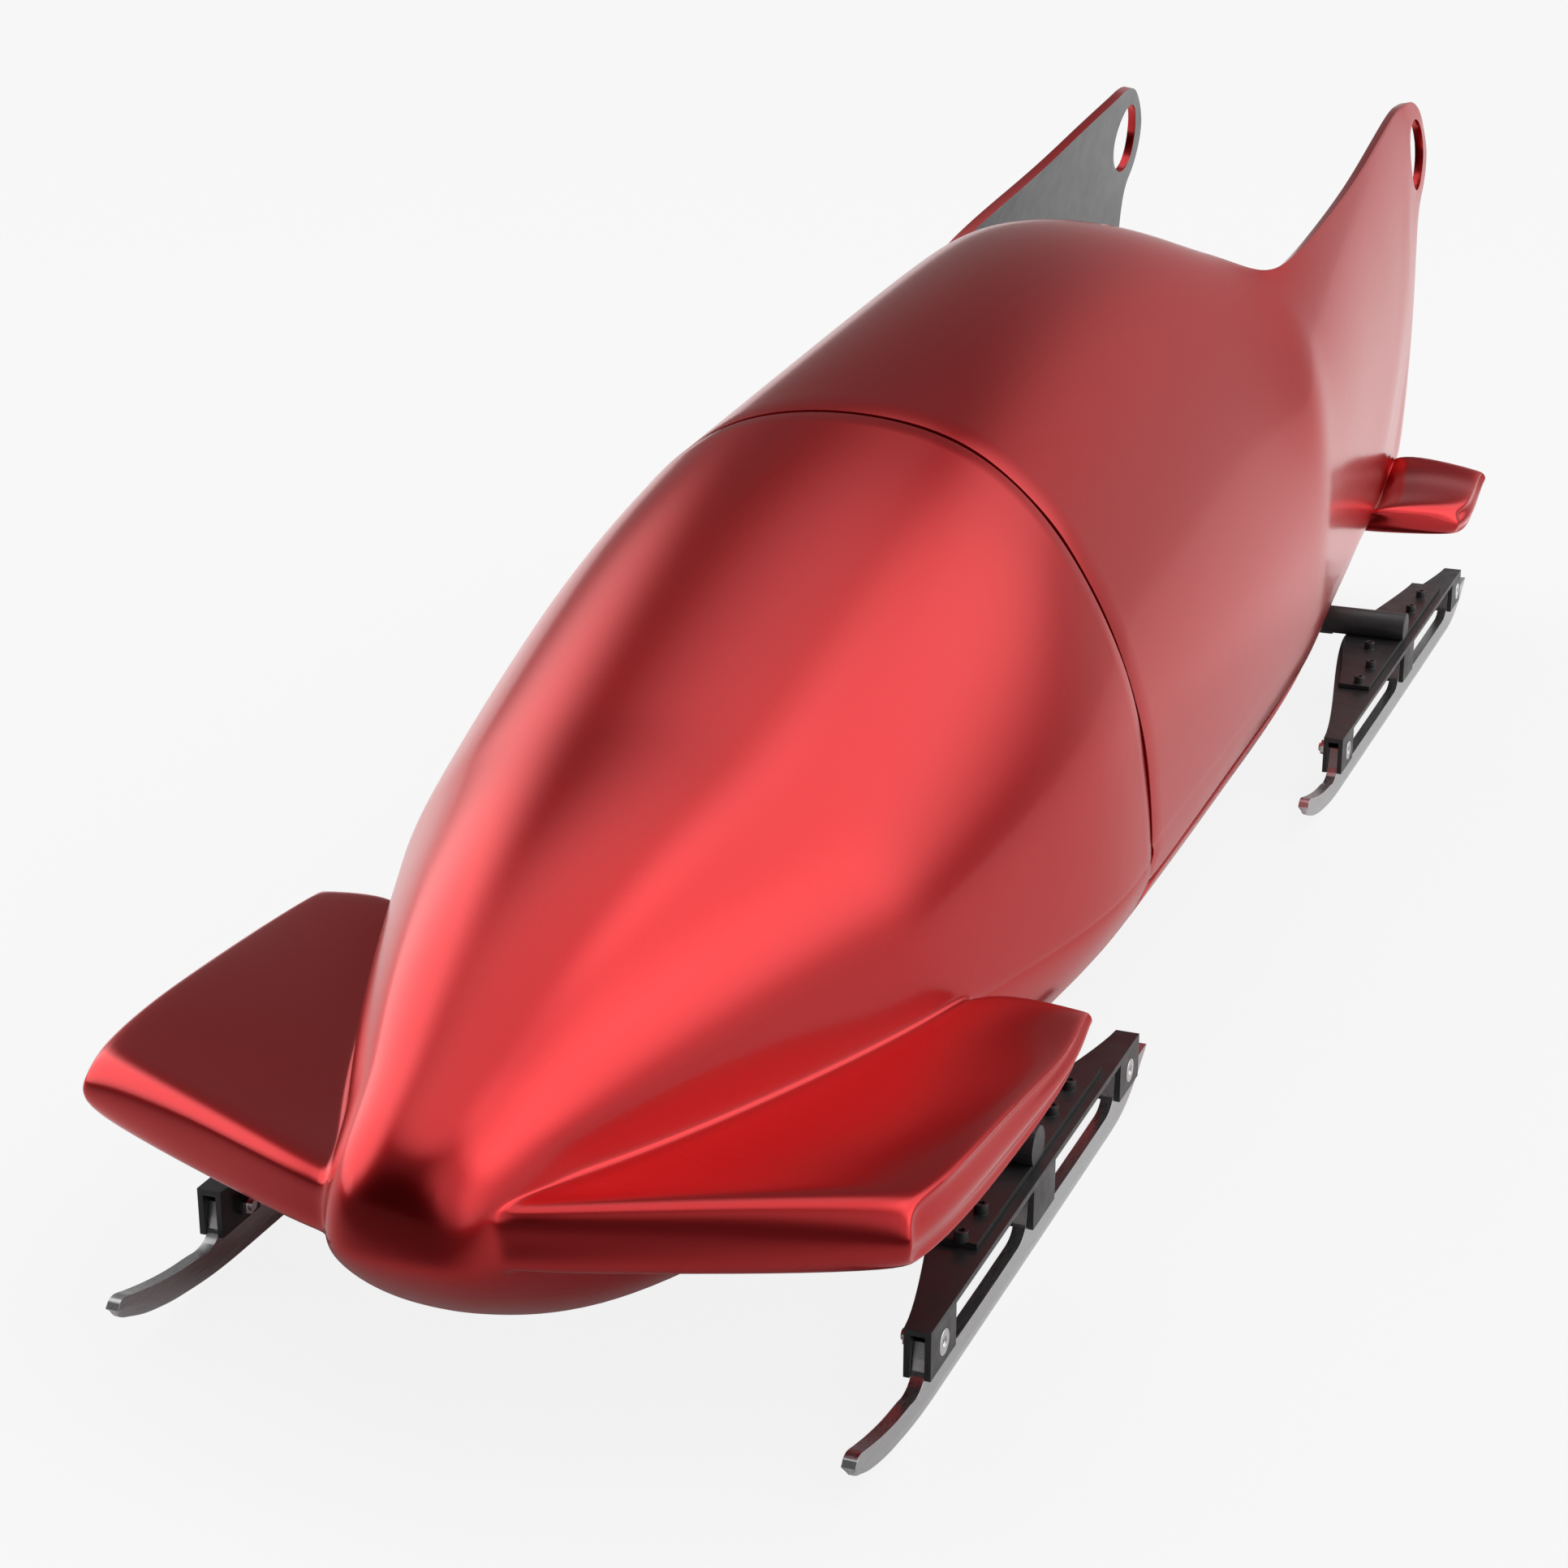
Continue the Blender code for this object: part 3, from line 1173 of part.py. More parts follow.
def make_pull_rods(lever_z, roll_axis):
    """Each rod runs back from the bell crank, through the seam, to a D-ring in the cockpit."""
    for hand, side in (("left", 1), ("right", -1)):
        x = side * PULL_X
        z = lever_z + LEVER_THICK + GAP + PULL_EYE_HALF
        start = (x, FRONT_AXLE_Y, z)
        end = (x, 0.440, z + 0.060)
        shaft = rod(f"pull_rod_{hand}", start, end, PULL_ROD_RADIUS, STEEL, SLED, sides=8)
        eye_ends = ((x, FRONT_AXLE_Y, z - PULL_EYE_HALF), (x, FRONT_AXLE_Y, z + PULL_EYE_HALF))
        eye = rod(f"pull_eye_{hand}", *eye_ends, 0.013, sides=16)
        across = ((x - 0.006, end[1], end[2]), (x + 0.006, end[1], end[2]))
        grip_end = rod(f"pull_end_{hand}", *across, 0.010, sides=12)
        combine(shaft, [eye, grip_end], "UNION")
        through = ((x, FRONT_AXLE_Y, 0.1), (x, FRONT_AXLE_Y, 0.4))
        hole = rod(f"pull_hole_{hand}", *through, STEER_PIN_RADIUS + PIVOT_CLEARANCE, sides=16)
        past = ((x - 0.02, end[1], end[2]), (x + 0.02, end[1], end[2]))
        ring_hole = rod(f"ring_hole_{hand}", *past, 0.0045, sides=12)
        combine(shaft, [hole, ring_hole], "DIFFERENCE")
        hang(shaft, roll_axis)
        make_d_ring(hand, x, end, roll_axis)


def make_d_ring(hand, x, end, roll_axis):
    """A D-shaped handle, whose straight bar runs through the rod's eye."""
    curve = bpy.data.curves.new(f"d_ring_{hand}", "CURVE")
    curve.dimensions = "3D"
    curve.bevel_depth = 0.004
    curve.bevel_resolution = 1
    curve.use_fill_caps = True
    line = curve.splines.new("POLY")
    points = [Vector((x - 0.035, end[1], end[2])), Vector((x + 0.035, end[1], end[2]))]
    for step in range(1, 8):
        turn = math.pi * step / 8
        bow = Vector((0.0385 * math.cos(turn), 0.085 * math.sin(turn) ** 0.7, 0))
        points.append(Vector((x, end[1], end[2])) + bow)
    line.points.add(len(points) - 1)
    for point, place_at in zip(line.points, points):
        point.co = (*place_at, 1)
    line.use_cyclic_u = True
    ring = bpy.data.objects.new(f"d_ring_{hand}", curve)
    SLED.objects.link(ring)
    curve.materials.append(RUBBER)
    hang(ring, roll_axis)


def make_cockpit():
    """Footrest bar, seat pan and the two pads on it."""
    foot_y = 0.180
    radius = 0.014
    foot_z = RAIL_TOP + radius + GAP
    rod("footrest_bar", (-0.22, foot_y, foot_z), (0.22, foot_y, foot_z), radius, ALLOY, SLED)
    hull_low = SEAT_PAN_Z
    front, rear = 0.560, 1.230
    pan = block("seat_pan", (-0.155, front, hull_low), (0.155, rear, hull_low + SEAT_PAN_THICK), GREY, SLED)
    legs = []
    for number, y in enumerate((front + 0.030, RAIL_END - 0.030)):
        for side in (1, -1):
            leg_low = (RAIL_X - 0.012, y - 0.012, RAIL_TOP + GAP)
            leg_high = (RAIL_X + 0.012, y + 0.012, hull_low + 0.002)
            low, high = mirror_x(side, leg_low, leg_high)
            legs.append(block(f"pan_leg_{number}_{side}", low, high))
    combine(pan, legs, "UNION")
    top = hull_low + SEAT_PAN_THICK + GAP
    for name, start, end in (("pilot_seat_pad", 0.590, 0.860), ("brakeman_seat_pad", 0.920, 1.200)):
        pad = block(name, (-0.145, start, top), (0.145, end, top + 0.035), PAD, SLED)
        soft = pad.modifiers.new("round", "BEVEL")
        soft.width = 0.012
        soft.segments = 3


def make_brake():
    """A lever frame with two grips turns the brake axle, which drives a toothed claw into the ice."""
    y, z = BRAKE_AXLE_Y, BRAKE_AXLE_Z
    axis = pivot("brake_axis", (0, y, z))
    reach = 0.186
    lever = rod("brake_lever", (-reach, y, z), (reach, y, z), BRAKE_RADIUS, STEEL, SLED, sides=16)
    parts = []
    grip_y, grip_z = y + 0.035, z + 0.215
    for side in (1, -1):
        x = side * (reach - 0.012)
        top = (x, grip_y, grip_z)
        parts.append(rod(f"brake_arm_{side}", (x, y, z), top, 0.009, sides=12))
    combine(lever, parts, "UNION")
    hang(lever, axis)
    for hand, side in (("left", 1), ("right", -1)):
        x = side * (reach - 0.012)
        along = Vector((0, grip_y - y, grip_z - z)).normalized()
        base = Vector((x, grip_y, grip_z)) + along * GAP
        tip = base + along * 0.105
        grip = rod(f"brake_grip_{hand}", base, tip, 0.0145, RUBBER, SLED, sides=16)
        hang(grip, axis)
    make_claw(axis)
    for hand, side in (("left", 1), ("right", -1)):
        make_brake_bearing(hand, side)


def make_claw(axis):
    """Two plates on the brake axle with a row of teeth between them."""
    y, z = BRAKE_AXLE_Y, BRAKE_AXLE_Z
    low, high = z - 0.034, z - 0.010
    tail = y + 0.235
    hub = 0.020
    outline = [(y - hub, z - 0.018), (y - hub, z + 0.018), (y + hub, z + 0.018), (tail, high), (tail, low)]
    teeth = 4
    pitch = 0.026
    for number in range(teeth):
        start = tail - number * pitch
        outline += [(start - 0.004, low - 0.020), (start - pitch, low)]
    outline += [(y + 0.030, low)]
    claw = slab("brake_claw", outline, (-0.030, 0.030), upright(1), STEEL, SLED)
    bore = rod("claw_bore", (-0.05, y, z), (0.05, y, z), BRAKE_RADIUS + GAP, sides=16)
    combine(claw, [bore], "DIFFERENCE")
    hang(claw, axis)


def make_brake_bearing(hand, side):
    """A bearing block on the rail, bored for the brake axle."""
    low, high = mirror_x(
        side,
        (RAIL_X - 0.013, BRAKE_AXLE_Y - 0.024, RAIL_TOP + GAP),
        (RAIL_X + 0.013, BRAKE_AXLE_Y + 0.024, SEAT_PAN_Z - GAP),
    )
    bearing = block(f"brake_bearing_{hand}", low, high, ALLOY, SLED)
    ends = ((-0.3, BRAKE_AXLE_Y, BRAKE_AXLE_Z), (0.3, BRAKE_AXLE_Y, BRAKE_AXLE_Z))
    combine(bearing, [rod(f"brake_bearing_bore_{hand}", *ends, BRAKE_RADIUS + GAP, sides=16)], "DIFFERENCE")


make_shells()
make_running_gear()
make_rear_axle()
NOSE_MARGIN, HULL_MARGIN, BELLY_MARGIN = shell_cutters()
BUSH_END = make_rear_frame(HULL_MARGIN, BELLY_MARGIN)
ROLL_AXIS = make_front_frame(NOSE_MARGIN, BUSH_END)
make_front_axle(ROLL_AXIS)
make_steering(ROLL_AXIS)
make_cockpit()
make_brake()
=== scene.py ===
# Looks of the bobsled: its moulded shells, running gear and paint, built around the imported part.
# Metres, +Z up. The nose points to -Y, the ground is z = 0 and x = 0 is the middle of the sled.

import json
import math

import bmesh
import bpy
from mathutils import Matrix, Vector

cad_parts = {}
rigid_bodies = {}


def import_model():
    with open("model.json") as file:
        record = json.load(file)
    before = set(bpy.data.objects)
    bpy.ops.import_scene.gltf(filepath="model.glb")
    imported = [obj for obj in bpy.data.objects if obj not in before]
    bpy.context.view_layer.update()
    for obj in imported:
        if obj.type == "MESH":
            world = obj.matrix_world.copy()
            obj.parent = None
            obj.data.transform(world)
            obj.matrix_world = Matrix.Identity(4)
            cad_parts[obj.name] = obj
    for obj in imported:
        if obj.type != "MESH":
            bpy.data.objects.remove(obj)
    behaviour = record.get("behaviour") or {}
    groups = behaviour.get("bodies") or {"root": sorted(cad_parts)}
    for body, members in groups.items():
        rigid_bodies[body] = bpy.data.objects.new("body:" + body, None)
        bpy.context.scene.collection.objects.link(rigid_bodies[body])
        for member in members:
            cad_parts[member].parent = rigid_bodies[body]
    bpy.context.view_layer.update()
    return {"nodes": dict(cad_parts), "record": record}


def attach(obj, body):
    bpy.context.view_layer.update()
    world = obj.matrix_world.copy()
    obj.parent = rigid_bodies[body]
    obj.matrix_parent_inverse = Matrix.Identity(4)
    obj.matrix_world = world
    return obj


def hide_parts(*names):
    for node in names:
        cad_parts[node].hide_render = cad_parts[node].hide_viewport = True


for startup_object in list(bpy.data.objects):
    bpy.data.objects.remove(startup_object)
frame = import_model()
NODES = frame["nodes"]

# Driving dimensions, as in the part's own source
GAUGE = 0.670
FRONT_AXLE_Y = -0.8165
REAR_AXLE_Y = 0.8525
AXLE_Z = 0.1045
AXLE_RADIUS = 0.0195
AXLE_END = 0.005
GAP = 0.0003
RUNNER_WIDTH = 0.0122
RUNNER_TOP = 0.048
CARRIER_WALL = 0.0057
CARRIER_TOP = 0.083
CARRIER_WEB = 0.006
LEG_BOTTOM = 0.037
LEG_LENGTH = 0.0655
SADDLE_PLATE = 0.006
SADDLE_HEAD = 0.0095
SADDLE_HEAD_RADIUS = 0.0065
SEAT_GAP = 0.0008
END_BOLT_RADIUS = 0.005
END_BOLT_Z = 0.0565
BRAKE_AXLE_Y = 1.020
SEAM_Y = -0.4125
HAND_HOLE_Y = 1.3295
HAND_HOLE_Z = 0.664
HAND_HOLE_RADIUS = 0.050
HOLE_DIAGONAL = HAND_HOLE_RADIUS * math.sqrt(0.5)
HOLE_FRONT = HAND_HOLE_Y - HAND_HOLE_RADIUS
HOLE_REAR = HAND_HOLE_Y + HAND_HOLE_RADIUS

# Shells: walls, their least share, how much is taken off inside a wing and at its edges, and the gaps between
NOSE_WALL = 0.005
HULL_WALL = 0.012
BELLY_WALL = 0.007
THIN_SHARE = 0.1
WING_THINNING = 0.6
EDGE_THINNING = 0.9
SEAM_GAP = 0.0052
SLIT = 0.0110

# Rounds of smoothing on the subdivided nose end and wings, and its weight on a wing and on the wing's root,
# first for the two leading columns and then for the others
EVEN_ROUNDS = 22
EVEN_FRONT = (1.0, 0.8)
EVEN_BACK = (0.5, 0.4)

# Body sections: y, half width, top, bottom, height of the widest line, upper and lower roundness, pinch
SECTIONS = [
    (-1.4085, 0.020, 0.235, 0.195, 0.215, 2.00, 2.00, 0.020),
    (-1.3675, 0.077, 0.311, 0.167, 0.216, 2.27, 2.35, 0.020),
    (-1.3025, 0.102, 0.345, 0.123, 0.217, 2.28, 2.39, 0.020),
    (-1.1325, 0.176, 0.429, 0.060, 0.221, 2.29, 2.45, 0.020),
    (-0.8825, 0.269, 0.510, 0.061, 0.224, 2.23, 2.44, 0.024),
    (-0.6325, 0.316, 0.593, 0.079, 0.228, 2.24, 2.34, 0.026),
    (-0.4125, 0.328, 0.660, 0.082, 0.227, 2.24, 2.31, 0.037),
    (-0.0825, 0.325, 0.708, 0.075, 0.239, 2.04, 2.39, 0.022),
    (0.2175, 0.317, 0.739, 0.068, 0.243, 2.06, 2.49, 0.020),
    (0.4165, 0.310, 0.696, 0.076, 0.254, 2.75, 2.50, 0.017),
    (0.8175, 0.274, 0.785, 0.091, 0.260, 3.30, 2.50, 0.020),
    (1.1175, 0.253, 0.860, 0.119, 0.270, 3.80, 2.49, 0.020),
    (1.3475, 0.231, 0.890, 0.148, 0.279, 4.20, 2.50, 0.020),
]

# Nose shell: y of each ring, then the heights of the wing's upper, middle and lower root rows there
NOSE_RINGS = [
    (-1.3948, 0.2400, 0.2240, 0.2100),
    (-1.3675, 0.258, 0.230, 0.202),
    (-1.3025, 0.258, 0.230, 0.200),
    (-1.2000, 0.256, 0.230, 0.201),
    (-1.0700, 0.256, 0.231, 0.206),
    (-0.9400, 0.259, 0.238, 0.217),
    (-0.8350, 0.258, 0.244, 0.227),
    (-0.5900, 0.252, 0.230, 0.208),
    (SEAM_Y - SEAM_GAP / 2, 0.252, 0.230, 0.208),
]
NOSE_DECK_ROWS = 6
NOSE_BELLY_ROWS = 4
FRONT_WING_RINGS = (1, 6)

# The nose's rounded end, from its foremost point to the third section: height of that point, then each
# measure's value in the middle, at the end, and its slope at the end
DOME_Z = 0.222
DOME_END = SECTIONS[2][0]
DOME_MIDDLE = 0.622
DOME_HALF = (0.077, 0.102, 0.087)
DOME_ABOVE = (0.089, 0.123, 0.108)
DOME_BELOW = (0.055, 0.099, 0.110)

# The end is laid on the dome in front of the first y, and less and less up to the second;
# a point that is farther than the reach from the dome belongs to a wing and stays
DOME_BLEND = (-1.312, -1.285)
DOME_REACH = 0.010

# Front wing tip, from the leading to the trailing edge: x, y, top, bottom
FRONT_WING_TIP = [
    (0.372, -1.2425, 0.262, 0.201),
    (0.380, -1.2050, 0.264, 0.200),
    (0.387, -1.1200, 0.263, 0.201),
    (0.392, -1.0150, 0.258, 0.206),
    (0.396, -0.9000, 0.250, 0.219),
    (0.388, -0.8300, 0.250, 0.226),
]

# Where a wing's cage has its loops, as shares of the span: from the root and from the tip
FRONT_WING_LOOPS = (0.20, 0.12)
REAR_WING_LOOPS = (0.10, 0.16)

# Wing edges: the last section's thickness and how far it is drawn in, the bulge of the leading and of the
# trailing edge, and the thickness just behind the leading edge
TIP_THICKNESS = 0.64
TIP_INSET = 0.008
LEADING_BULGE = 0.013
TRAILING_BULGE = 0.006
LEADING_THICKNESS = 0.95

# Hull shell: y of each ring, then the heights of the wing's three root rows and of the lower edge
HULL_RINGS = [
    (SEAM_Y + SEAM_GAP / 2, 0.262, 0.245, 0.228, 0.210),
    (-0.0800, 0.262, 0.245, 0.228, 0.210),
    (0.2700, 0.260, 0.240, 0.222, 0.200),
    (0.4300, 0.258, 0.238, 0.218, 0.196),
    (0.5300, 0.256, 0.235, 0.214, 0.194),
    (0.6900, 0.249, 0.227, 0.207, 0.187),
    (0.9000, 0.233, 0.211, 0.190, 0.171),
    (1.0750, 0.206, 0.186, 0.168, 0.154),
    (1.1400, 0.210, 0.190, 0.170, 0.156),
    (1.2000, 0.214, 0.194, 0.174, 0.160),
    (1.2600, 0.218, 0.199, 0.180, 0.165),
    (1.3050, 0.230, 0.208, 0.188, 0.172),
    (1.3425, 0.234, 0.214, 0.195, 0.180),
]
HULL_DECK_ROWS = 3
HULL_SIDE_ROWS = 6
LIP_RING = 3
REAR_WING_RINGS = (7, 11)
RIM_ANGLE = math.radians(38)

# The cockpit rim from the corner of the lip to the fin's upper rear corner: x, y, z, one for each ring
RIM = [
    (0.194, 0.4700, 0.655),
    (0.214, 0.5350, 0.649),
    (0.220, 0.6800, 0.662),
    (0.218, 0.8950, 0.686),
    (0.213, 1.0750, 0.714),
    (0.208, 1.2225, 0.737),
    (0.210, 1.2750, 0.7415),
    (0.212, 1.3250, 0.7390),
    (0.216, 1.3680, 0.7200),
    (0.218, 1.3970, 0.6920),
]
LIP = [(0.0, 0.4165, 0.696), (0.085, 0.4215, 0.690), (0.154, 0.4390, 0.673)]

# The hand hole's upper and lower points, as the fin's rows pass round it
HOLE_ARCH, HOLE_BOWL = (
    [
        (HAND_HOLE_Y - HOLE_DIAGONAL, HAND_HOLE_Z + up * HOLE_DIAGONAL),
        (HAND_HOLE_Y, HAND_HOLE_Z + up * HAND_HOLE_RADIUS),
        (HAND_HOLE_Y + HOLE_DIAGONAL, HAND_HOLE_Z + up * HOLE_DIAGONAL),
    ]
    for up in (1, -1)
)

# Side rows of the fin, below the rim: y and z at the last five rings, with None in the middle of the hole
FIN_ROWS = [
    [(1.2225, 0.700), *HOLE_ARCH, (1.4085, 0.665)],
    [(1.2225, 0.660), (HOLE_FRONT, HAND_HOLE_Z), None, (HOLE_REAR, HAND_HOLE_Z), (1.4030, 0.637)],
    [(1.2225, 0.610), *HOLE_BOWL, (1.3780, 0.606)],
    [(1.2200, 0.540), (1.2700, 0.545), (1.3000, 0.550), (1.3250, 0.556), (1.3440, 0.560)],
    [(1.2150, 0.400), (1.2650, 0.402), (1.2950, 0.405), (1.3180, 0.408), (1.3380, 0.410)],
]
FIN_RING = 8

# Rear wing tip: x, y, top, bottom
REAR_WING_TIP = [
    (0.352, 1.1675, 0.190, 0.152),
    (0.360, 1.1900, 0.196, 0.152),
    (0.361, 1.2350, 0.202, 0.158),
    (0.359, 1.2800, 0.206, 0.168),
    (0.358, 1.3170, 0.211, 0.184),
]

BELLY_RINGS = [SEAM_Y + SEAM_GAP / 2, -0.20, 0.05, 0.30, 0.56, 0.82, 1.08, 1.24, 1.34]
BELLY_ROWS = 5

# Front and rear end of each carrier, of its runner, and the places of its end bolts
FRONT_CARRIER = (-1.131, -0.5025)
REAR_CARRIER = (0.432, 1.232)
RUNNER_ENDS = {FRONT_CARRIER: (-1.2925, -0.4500), REAR_CARRIER: (0.2730, 1.3125)}
END_BOLTS = {FRONT_CARRIER: (-1.0965, -0.5335), REAR_CARRIER: (0.4700, 1.2100)}

# How far the carrier's top plate reaches inwards at the axle
CARRIER_WIDEST = 0.090

# Across the running gear: the runner's middle, and the inner and outer faces of the carrier's two walls
CENTRE = GAUGE / 2
WALL_INSIDE = CENTRE - RUNNER_WIDTH / 2 - GAP
WALL_OUTSIDE = CENTRE + RUNNER_WIDTH / 2 + GAP
CARRIER_INNER = WALL_INSIDE - CARRIER_WALL
CARRIER_OUTER = WALL_OUTSIDE + CARRIER_WALL

# End bolts: head, dish, socket and sink depths, the sleeve on the inside and its nut
END_BOLT_HEAD = 0.0118
HEAD_DEPTH = 0.0035
HEAD_PROUD = 0.0004
DISH_RADIUS = 0.0052
DISH_DEPTH = 0.0010
SOCKET_RADIUS = 0.0040
SOCKET_DEPTH = 0.0042
SINK_DEPTH = 0.0038
BOSS_LENGTH = 0.0045
BOSS_RADIUS = 0.0105
BOSS_END = CARRIER_INNER - BOSS_LENGTH
BOSS_ROOT = 0.002
NUT_RADIUS = 0.0098
NUT_LENGTH = 0.0055
BOLT_PROUD = 0.003

# How much less than in the CAD the scene's plates reach inwards: the carrier's, and the saddle's on top of it
PLATE_BACK = 0.012
SADDLE_BACK = 0.015

# Cutting tools reach this far past what they cut
PAST = 0.01
EDGE_ROUND = 0.0014

# Floor: its reflectance to the sled, which fades to dark in front of the nose, and to the camera
FLOOR_WHITE = 0.75
FLOOR_DARK = 0.10
FLOOR_FADE = (-1.95, -1.05)
FLOOR_SEEN = 0.057
FLOOR_GLOW = 0.864


def add_node(tree, kind, **inputs):
    node = tree.nodes.new("ShaderNode" + kind)
    for name, value in inputs.items():
        node.inputs[name.replace("_", " ")].default_value = value
    return node


class Nodes:
    """Short names for building one material's node tree."""

    def __init__(self, name):
        self.mat = bpy.data.materials.new(name)
        self.mat.use_nodes = True
        self.tree = self.mat.node_tree
        self.shader = self.tree.nodes["Principled BSDF"]
        self.place = add_node(self.tree, "TexCoord").outputs["Object"]

    def set(self, **values):
        for name, value in values.items():
            self.shader.inputs[name.replace("_", " ")].default_value = value

    def link(self, source, target):
        self.tree.links.new(source, target)

    def into(self, name, value):
        self.link(value, self.shader.inputs[name])

    def stretched(self, scale):
        node = add_node(self.tree, "Mapping", Scale=scale)
        self.link(self.place, node.inputs["Vector"])
        return node.outputs["Vector"]

    def noise(self, scale, detail=3.0, rough=0.55, place=None):
        node = add_node(self.tree, "TexNoise", Scale=scale, Detail=detail, Roughness=rough)
        self.link(place or self.place, node.inputs["Vector"])
        return node.outputs["Fac"]

    def cells(self, scale, place=None):
        node = add_node(self.tree, "TexVoronoi", Scale=scale)
        self.link(place or self.place, node.inputs["Vector"])
        return node.outputs

    def span(self, value, low, high, to_low, to_high):
        node = add_node(self.tree, "MapRange", From_Min=low, From_Max=high, To_Min=to_low, To_Max=to_high)
        self.link(value, node.inputs["Value"])
        return node.outputs["Result"]

    def tint(self, value, low_at, low, high_at, high):
        node = add_node(self.tree, "ValToRGB")
        for stop, place, colour in zip(node.color_ramp.elements, (low_at, high_at), (low, high)):
            stop.position = place
            stop.color = (*colour, 1)
        self.link(value, node.inputs["Fac"])
        return node.outputs["Color"]

    def bump(self, height, depth, strength, into="Normal"):
        node = add_node(self.tree, "Bump", Distance=depth, Strength=strength)
        self.link(height, node.inputs["Height"])
        self.into(into, node.outputs["Normal"])


def metallic_paint():
    """Red base coat with fine flakes under a clear coat that has a little orange peel."""
    m = Nodes("red_metallic_paint")
    m.set(Metallic=0.95, Specular_Tint=(1.0, 0.5, 0.5, 1.0))
    m.set(Coat_Weight=0.62, Coat_Roughness=0.14, Coat_IOR=1.5)
    flakes = m.cells(2600.0)["Color"]
    m.into("Base Color", m.tint(flakes, 0.0, (0.40, 0.0055, 0.008), 1.0, (0.47, 0.0075, 0.010)))
    m.into("Roughness", m.span(m.noise(1.6, 2.0), 0.3, 0.7, 0.24, 0.28))
    m.bump(m.noise(900.0, 2.0), 0.00002, 0.5)
    m.bump(m.noise(120.0, 1.0), 0.00003, 0.35, into="Coat Normal")
    return m.mat


def dull(name, tone, colours, grain, rough, relief, **values):
    """A dull finish: its colour and roughness drift with two noises, and relief(m) breaks its surface."""
    m = Nodes(name)
    m.set(Metallic=0.0, **values)
    m.into("Base Color", m.tint(m.noise(tone, 4.0), *colours))
    m.into("Roughness", m.span(m.noise(*grain), *rough))
    m.bump(*relief(m))
    return m.mat


def steel(name, colour, rough, along=(1.0, 0.03, 1.0), depth=0.00002):
    """Ground or drawn metal, whose fine lines run along the part."""
    m = Nodes(name)
    m.set(Metallic=1.0)
    lines = m.noise(900.0, 3.0, 0.6, m.stretched(along))
    low = tuple(channel * 0.9 for channel in colour)
    m.into("Base Color", m.tint(lines, 0.3, low, 0.7, colour))
    m.into("Roughness", m.span(lines, 0.3, 0.7, rough - 0.05, rough + 0.06))
    m.bump(lines, depth, 0.5)
    return m.mat


def studio_white(name):
    """White floor: it lights the sled from below, and glows to the camera with only a faint shadow."""
    m = Nodes(name)
    m.set(Roughness=0.9, Specular_IOR_Level=0.0, Emission_Color=(1, 1, 1, 1))
    split = add_node(m.tree, "SeparateXYZ")
    m.link(m.place, split.inputs[0])
    to_sled = m.span(split.outputs["Y"], *FLOOR_FADE, FLOOR_DARK, FLOOR_WHITE)
    seen = add_node(m.tree, "LightPath").outputs["Is Camera Ray"]
    mix = add_node(m.tree, "Mix", B=FLOOR_SEEN)
    m.link(seen, mix.inputs["Factor"])
    m.link(to_sled, mix.inputs["A"])
    m.into("Base Color", mix.outputs["Result"])
    m.into("Emission Strength", m.span(seen, 0.0, 1.0, 0.0, FLOOR_GLOW))
    return m.mat


PAINT = metallic_paint()
LAMINATE = dull(
    "grey_laminate",
    14.0,
    (0.25, (0.175, 0.176, 0.180), 0.8, (0.225, 0.226, 0.230)),
    (40.0,),
    (0.3, 0.7, 0.52, 0.66),
    lambda m: (m.cells(420.0, m.stretched((1.0, 0.5, 1.0)))["Distance"], 0.00025, 0.5),
)
BLACK = dull(
    "black_paint",
    30.0,
    (0.2, (0.012, 0.012, 0.013), 0.9, (0.022, 0.022, 0.023)),
    (60.0, 5.0),
    (0.3, 0.75, 0.34, 0.5),
    lambda m: (m.noise(1400.0, 2.0), 0.00004, 0.45),
    Specular_IOR_Level=0.45,
)
COVER = dull(
    "pad_cover",
    25.0,
    (0.2, (0.022, 0.022, 0.024), 0.9, (0.045, 0.045, 0.048)),
    (90.0,),
    (0.3, 0.7, 0.75, 0.92),
    lambda m: (m.cells(900.0)["Distance"], 0.0003, 0.6),
    Sheen_Weight=0.25,
    Sheen_Roughness=0.5,
)
RUBBER = dull(
    "grip_rubber",
    50.0,
    (0.2, (0.014, 0.014, 0.014), 0.9, (0.030, 0.030, 0.031)),
    (80.0,),
    (0.3, 0.7, 0.62, 0.8),
    lambda m: (m.cells(1500.0)["Distance"], 0.0002, 0.5),
)
STEEL = steel("runner_steel", (0.52, 0.52, 0.53), 0.30)
DARK_STEEL = steel("machined_steel", (0.42, 0.42, 0.43), 0.32, along=(0.05, 1.0, 1.0))
CHROME = steel("bright_bolt", (0.66, 0.66, 0.67), 0.14, depth=0.000005)
ALLOY = steel("frame_alloy", (0.62, 0.63, 0.65), 0.36)
BRONZE = steel("bush_bronze", (0.62, 0.42, 0.18), 0.30)


def spline_value(before, start, end, after, t):
    return 0.5 * (
        2 * start
        + (end - before) * t
        + (2 * before - 5 * start + 4 * end - after) * t**2
        + (3 * start - before - 3 * end + after) * t**3
    )


def section_at(y):
    """The body section's values at y, on a smooth curve through the listed sections."""
    index = 0
    while index < len(SECTIONS) - 2 and y > SECTIONS[index + 1][0]:
        index += 1
    before = SECTIONS[max(index - 1, 0)]
    start = SECTIONS[index]
    end = SECTIONS[index + 1]
    after = SECTIONS[min(index + 2, len(SECTIONS) - 1)]
    low, high = 0.0, 1.0
    for _ in range(30):
        middle = (low + high) / 2
        if spline_value(before[0], start[0], end[0], after[0], middle) < y:
            low = middle
        else:
            high = middle
    return [spline_value(*values, low) for values in zip(before, start, end, after)]


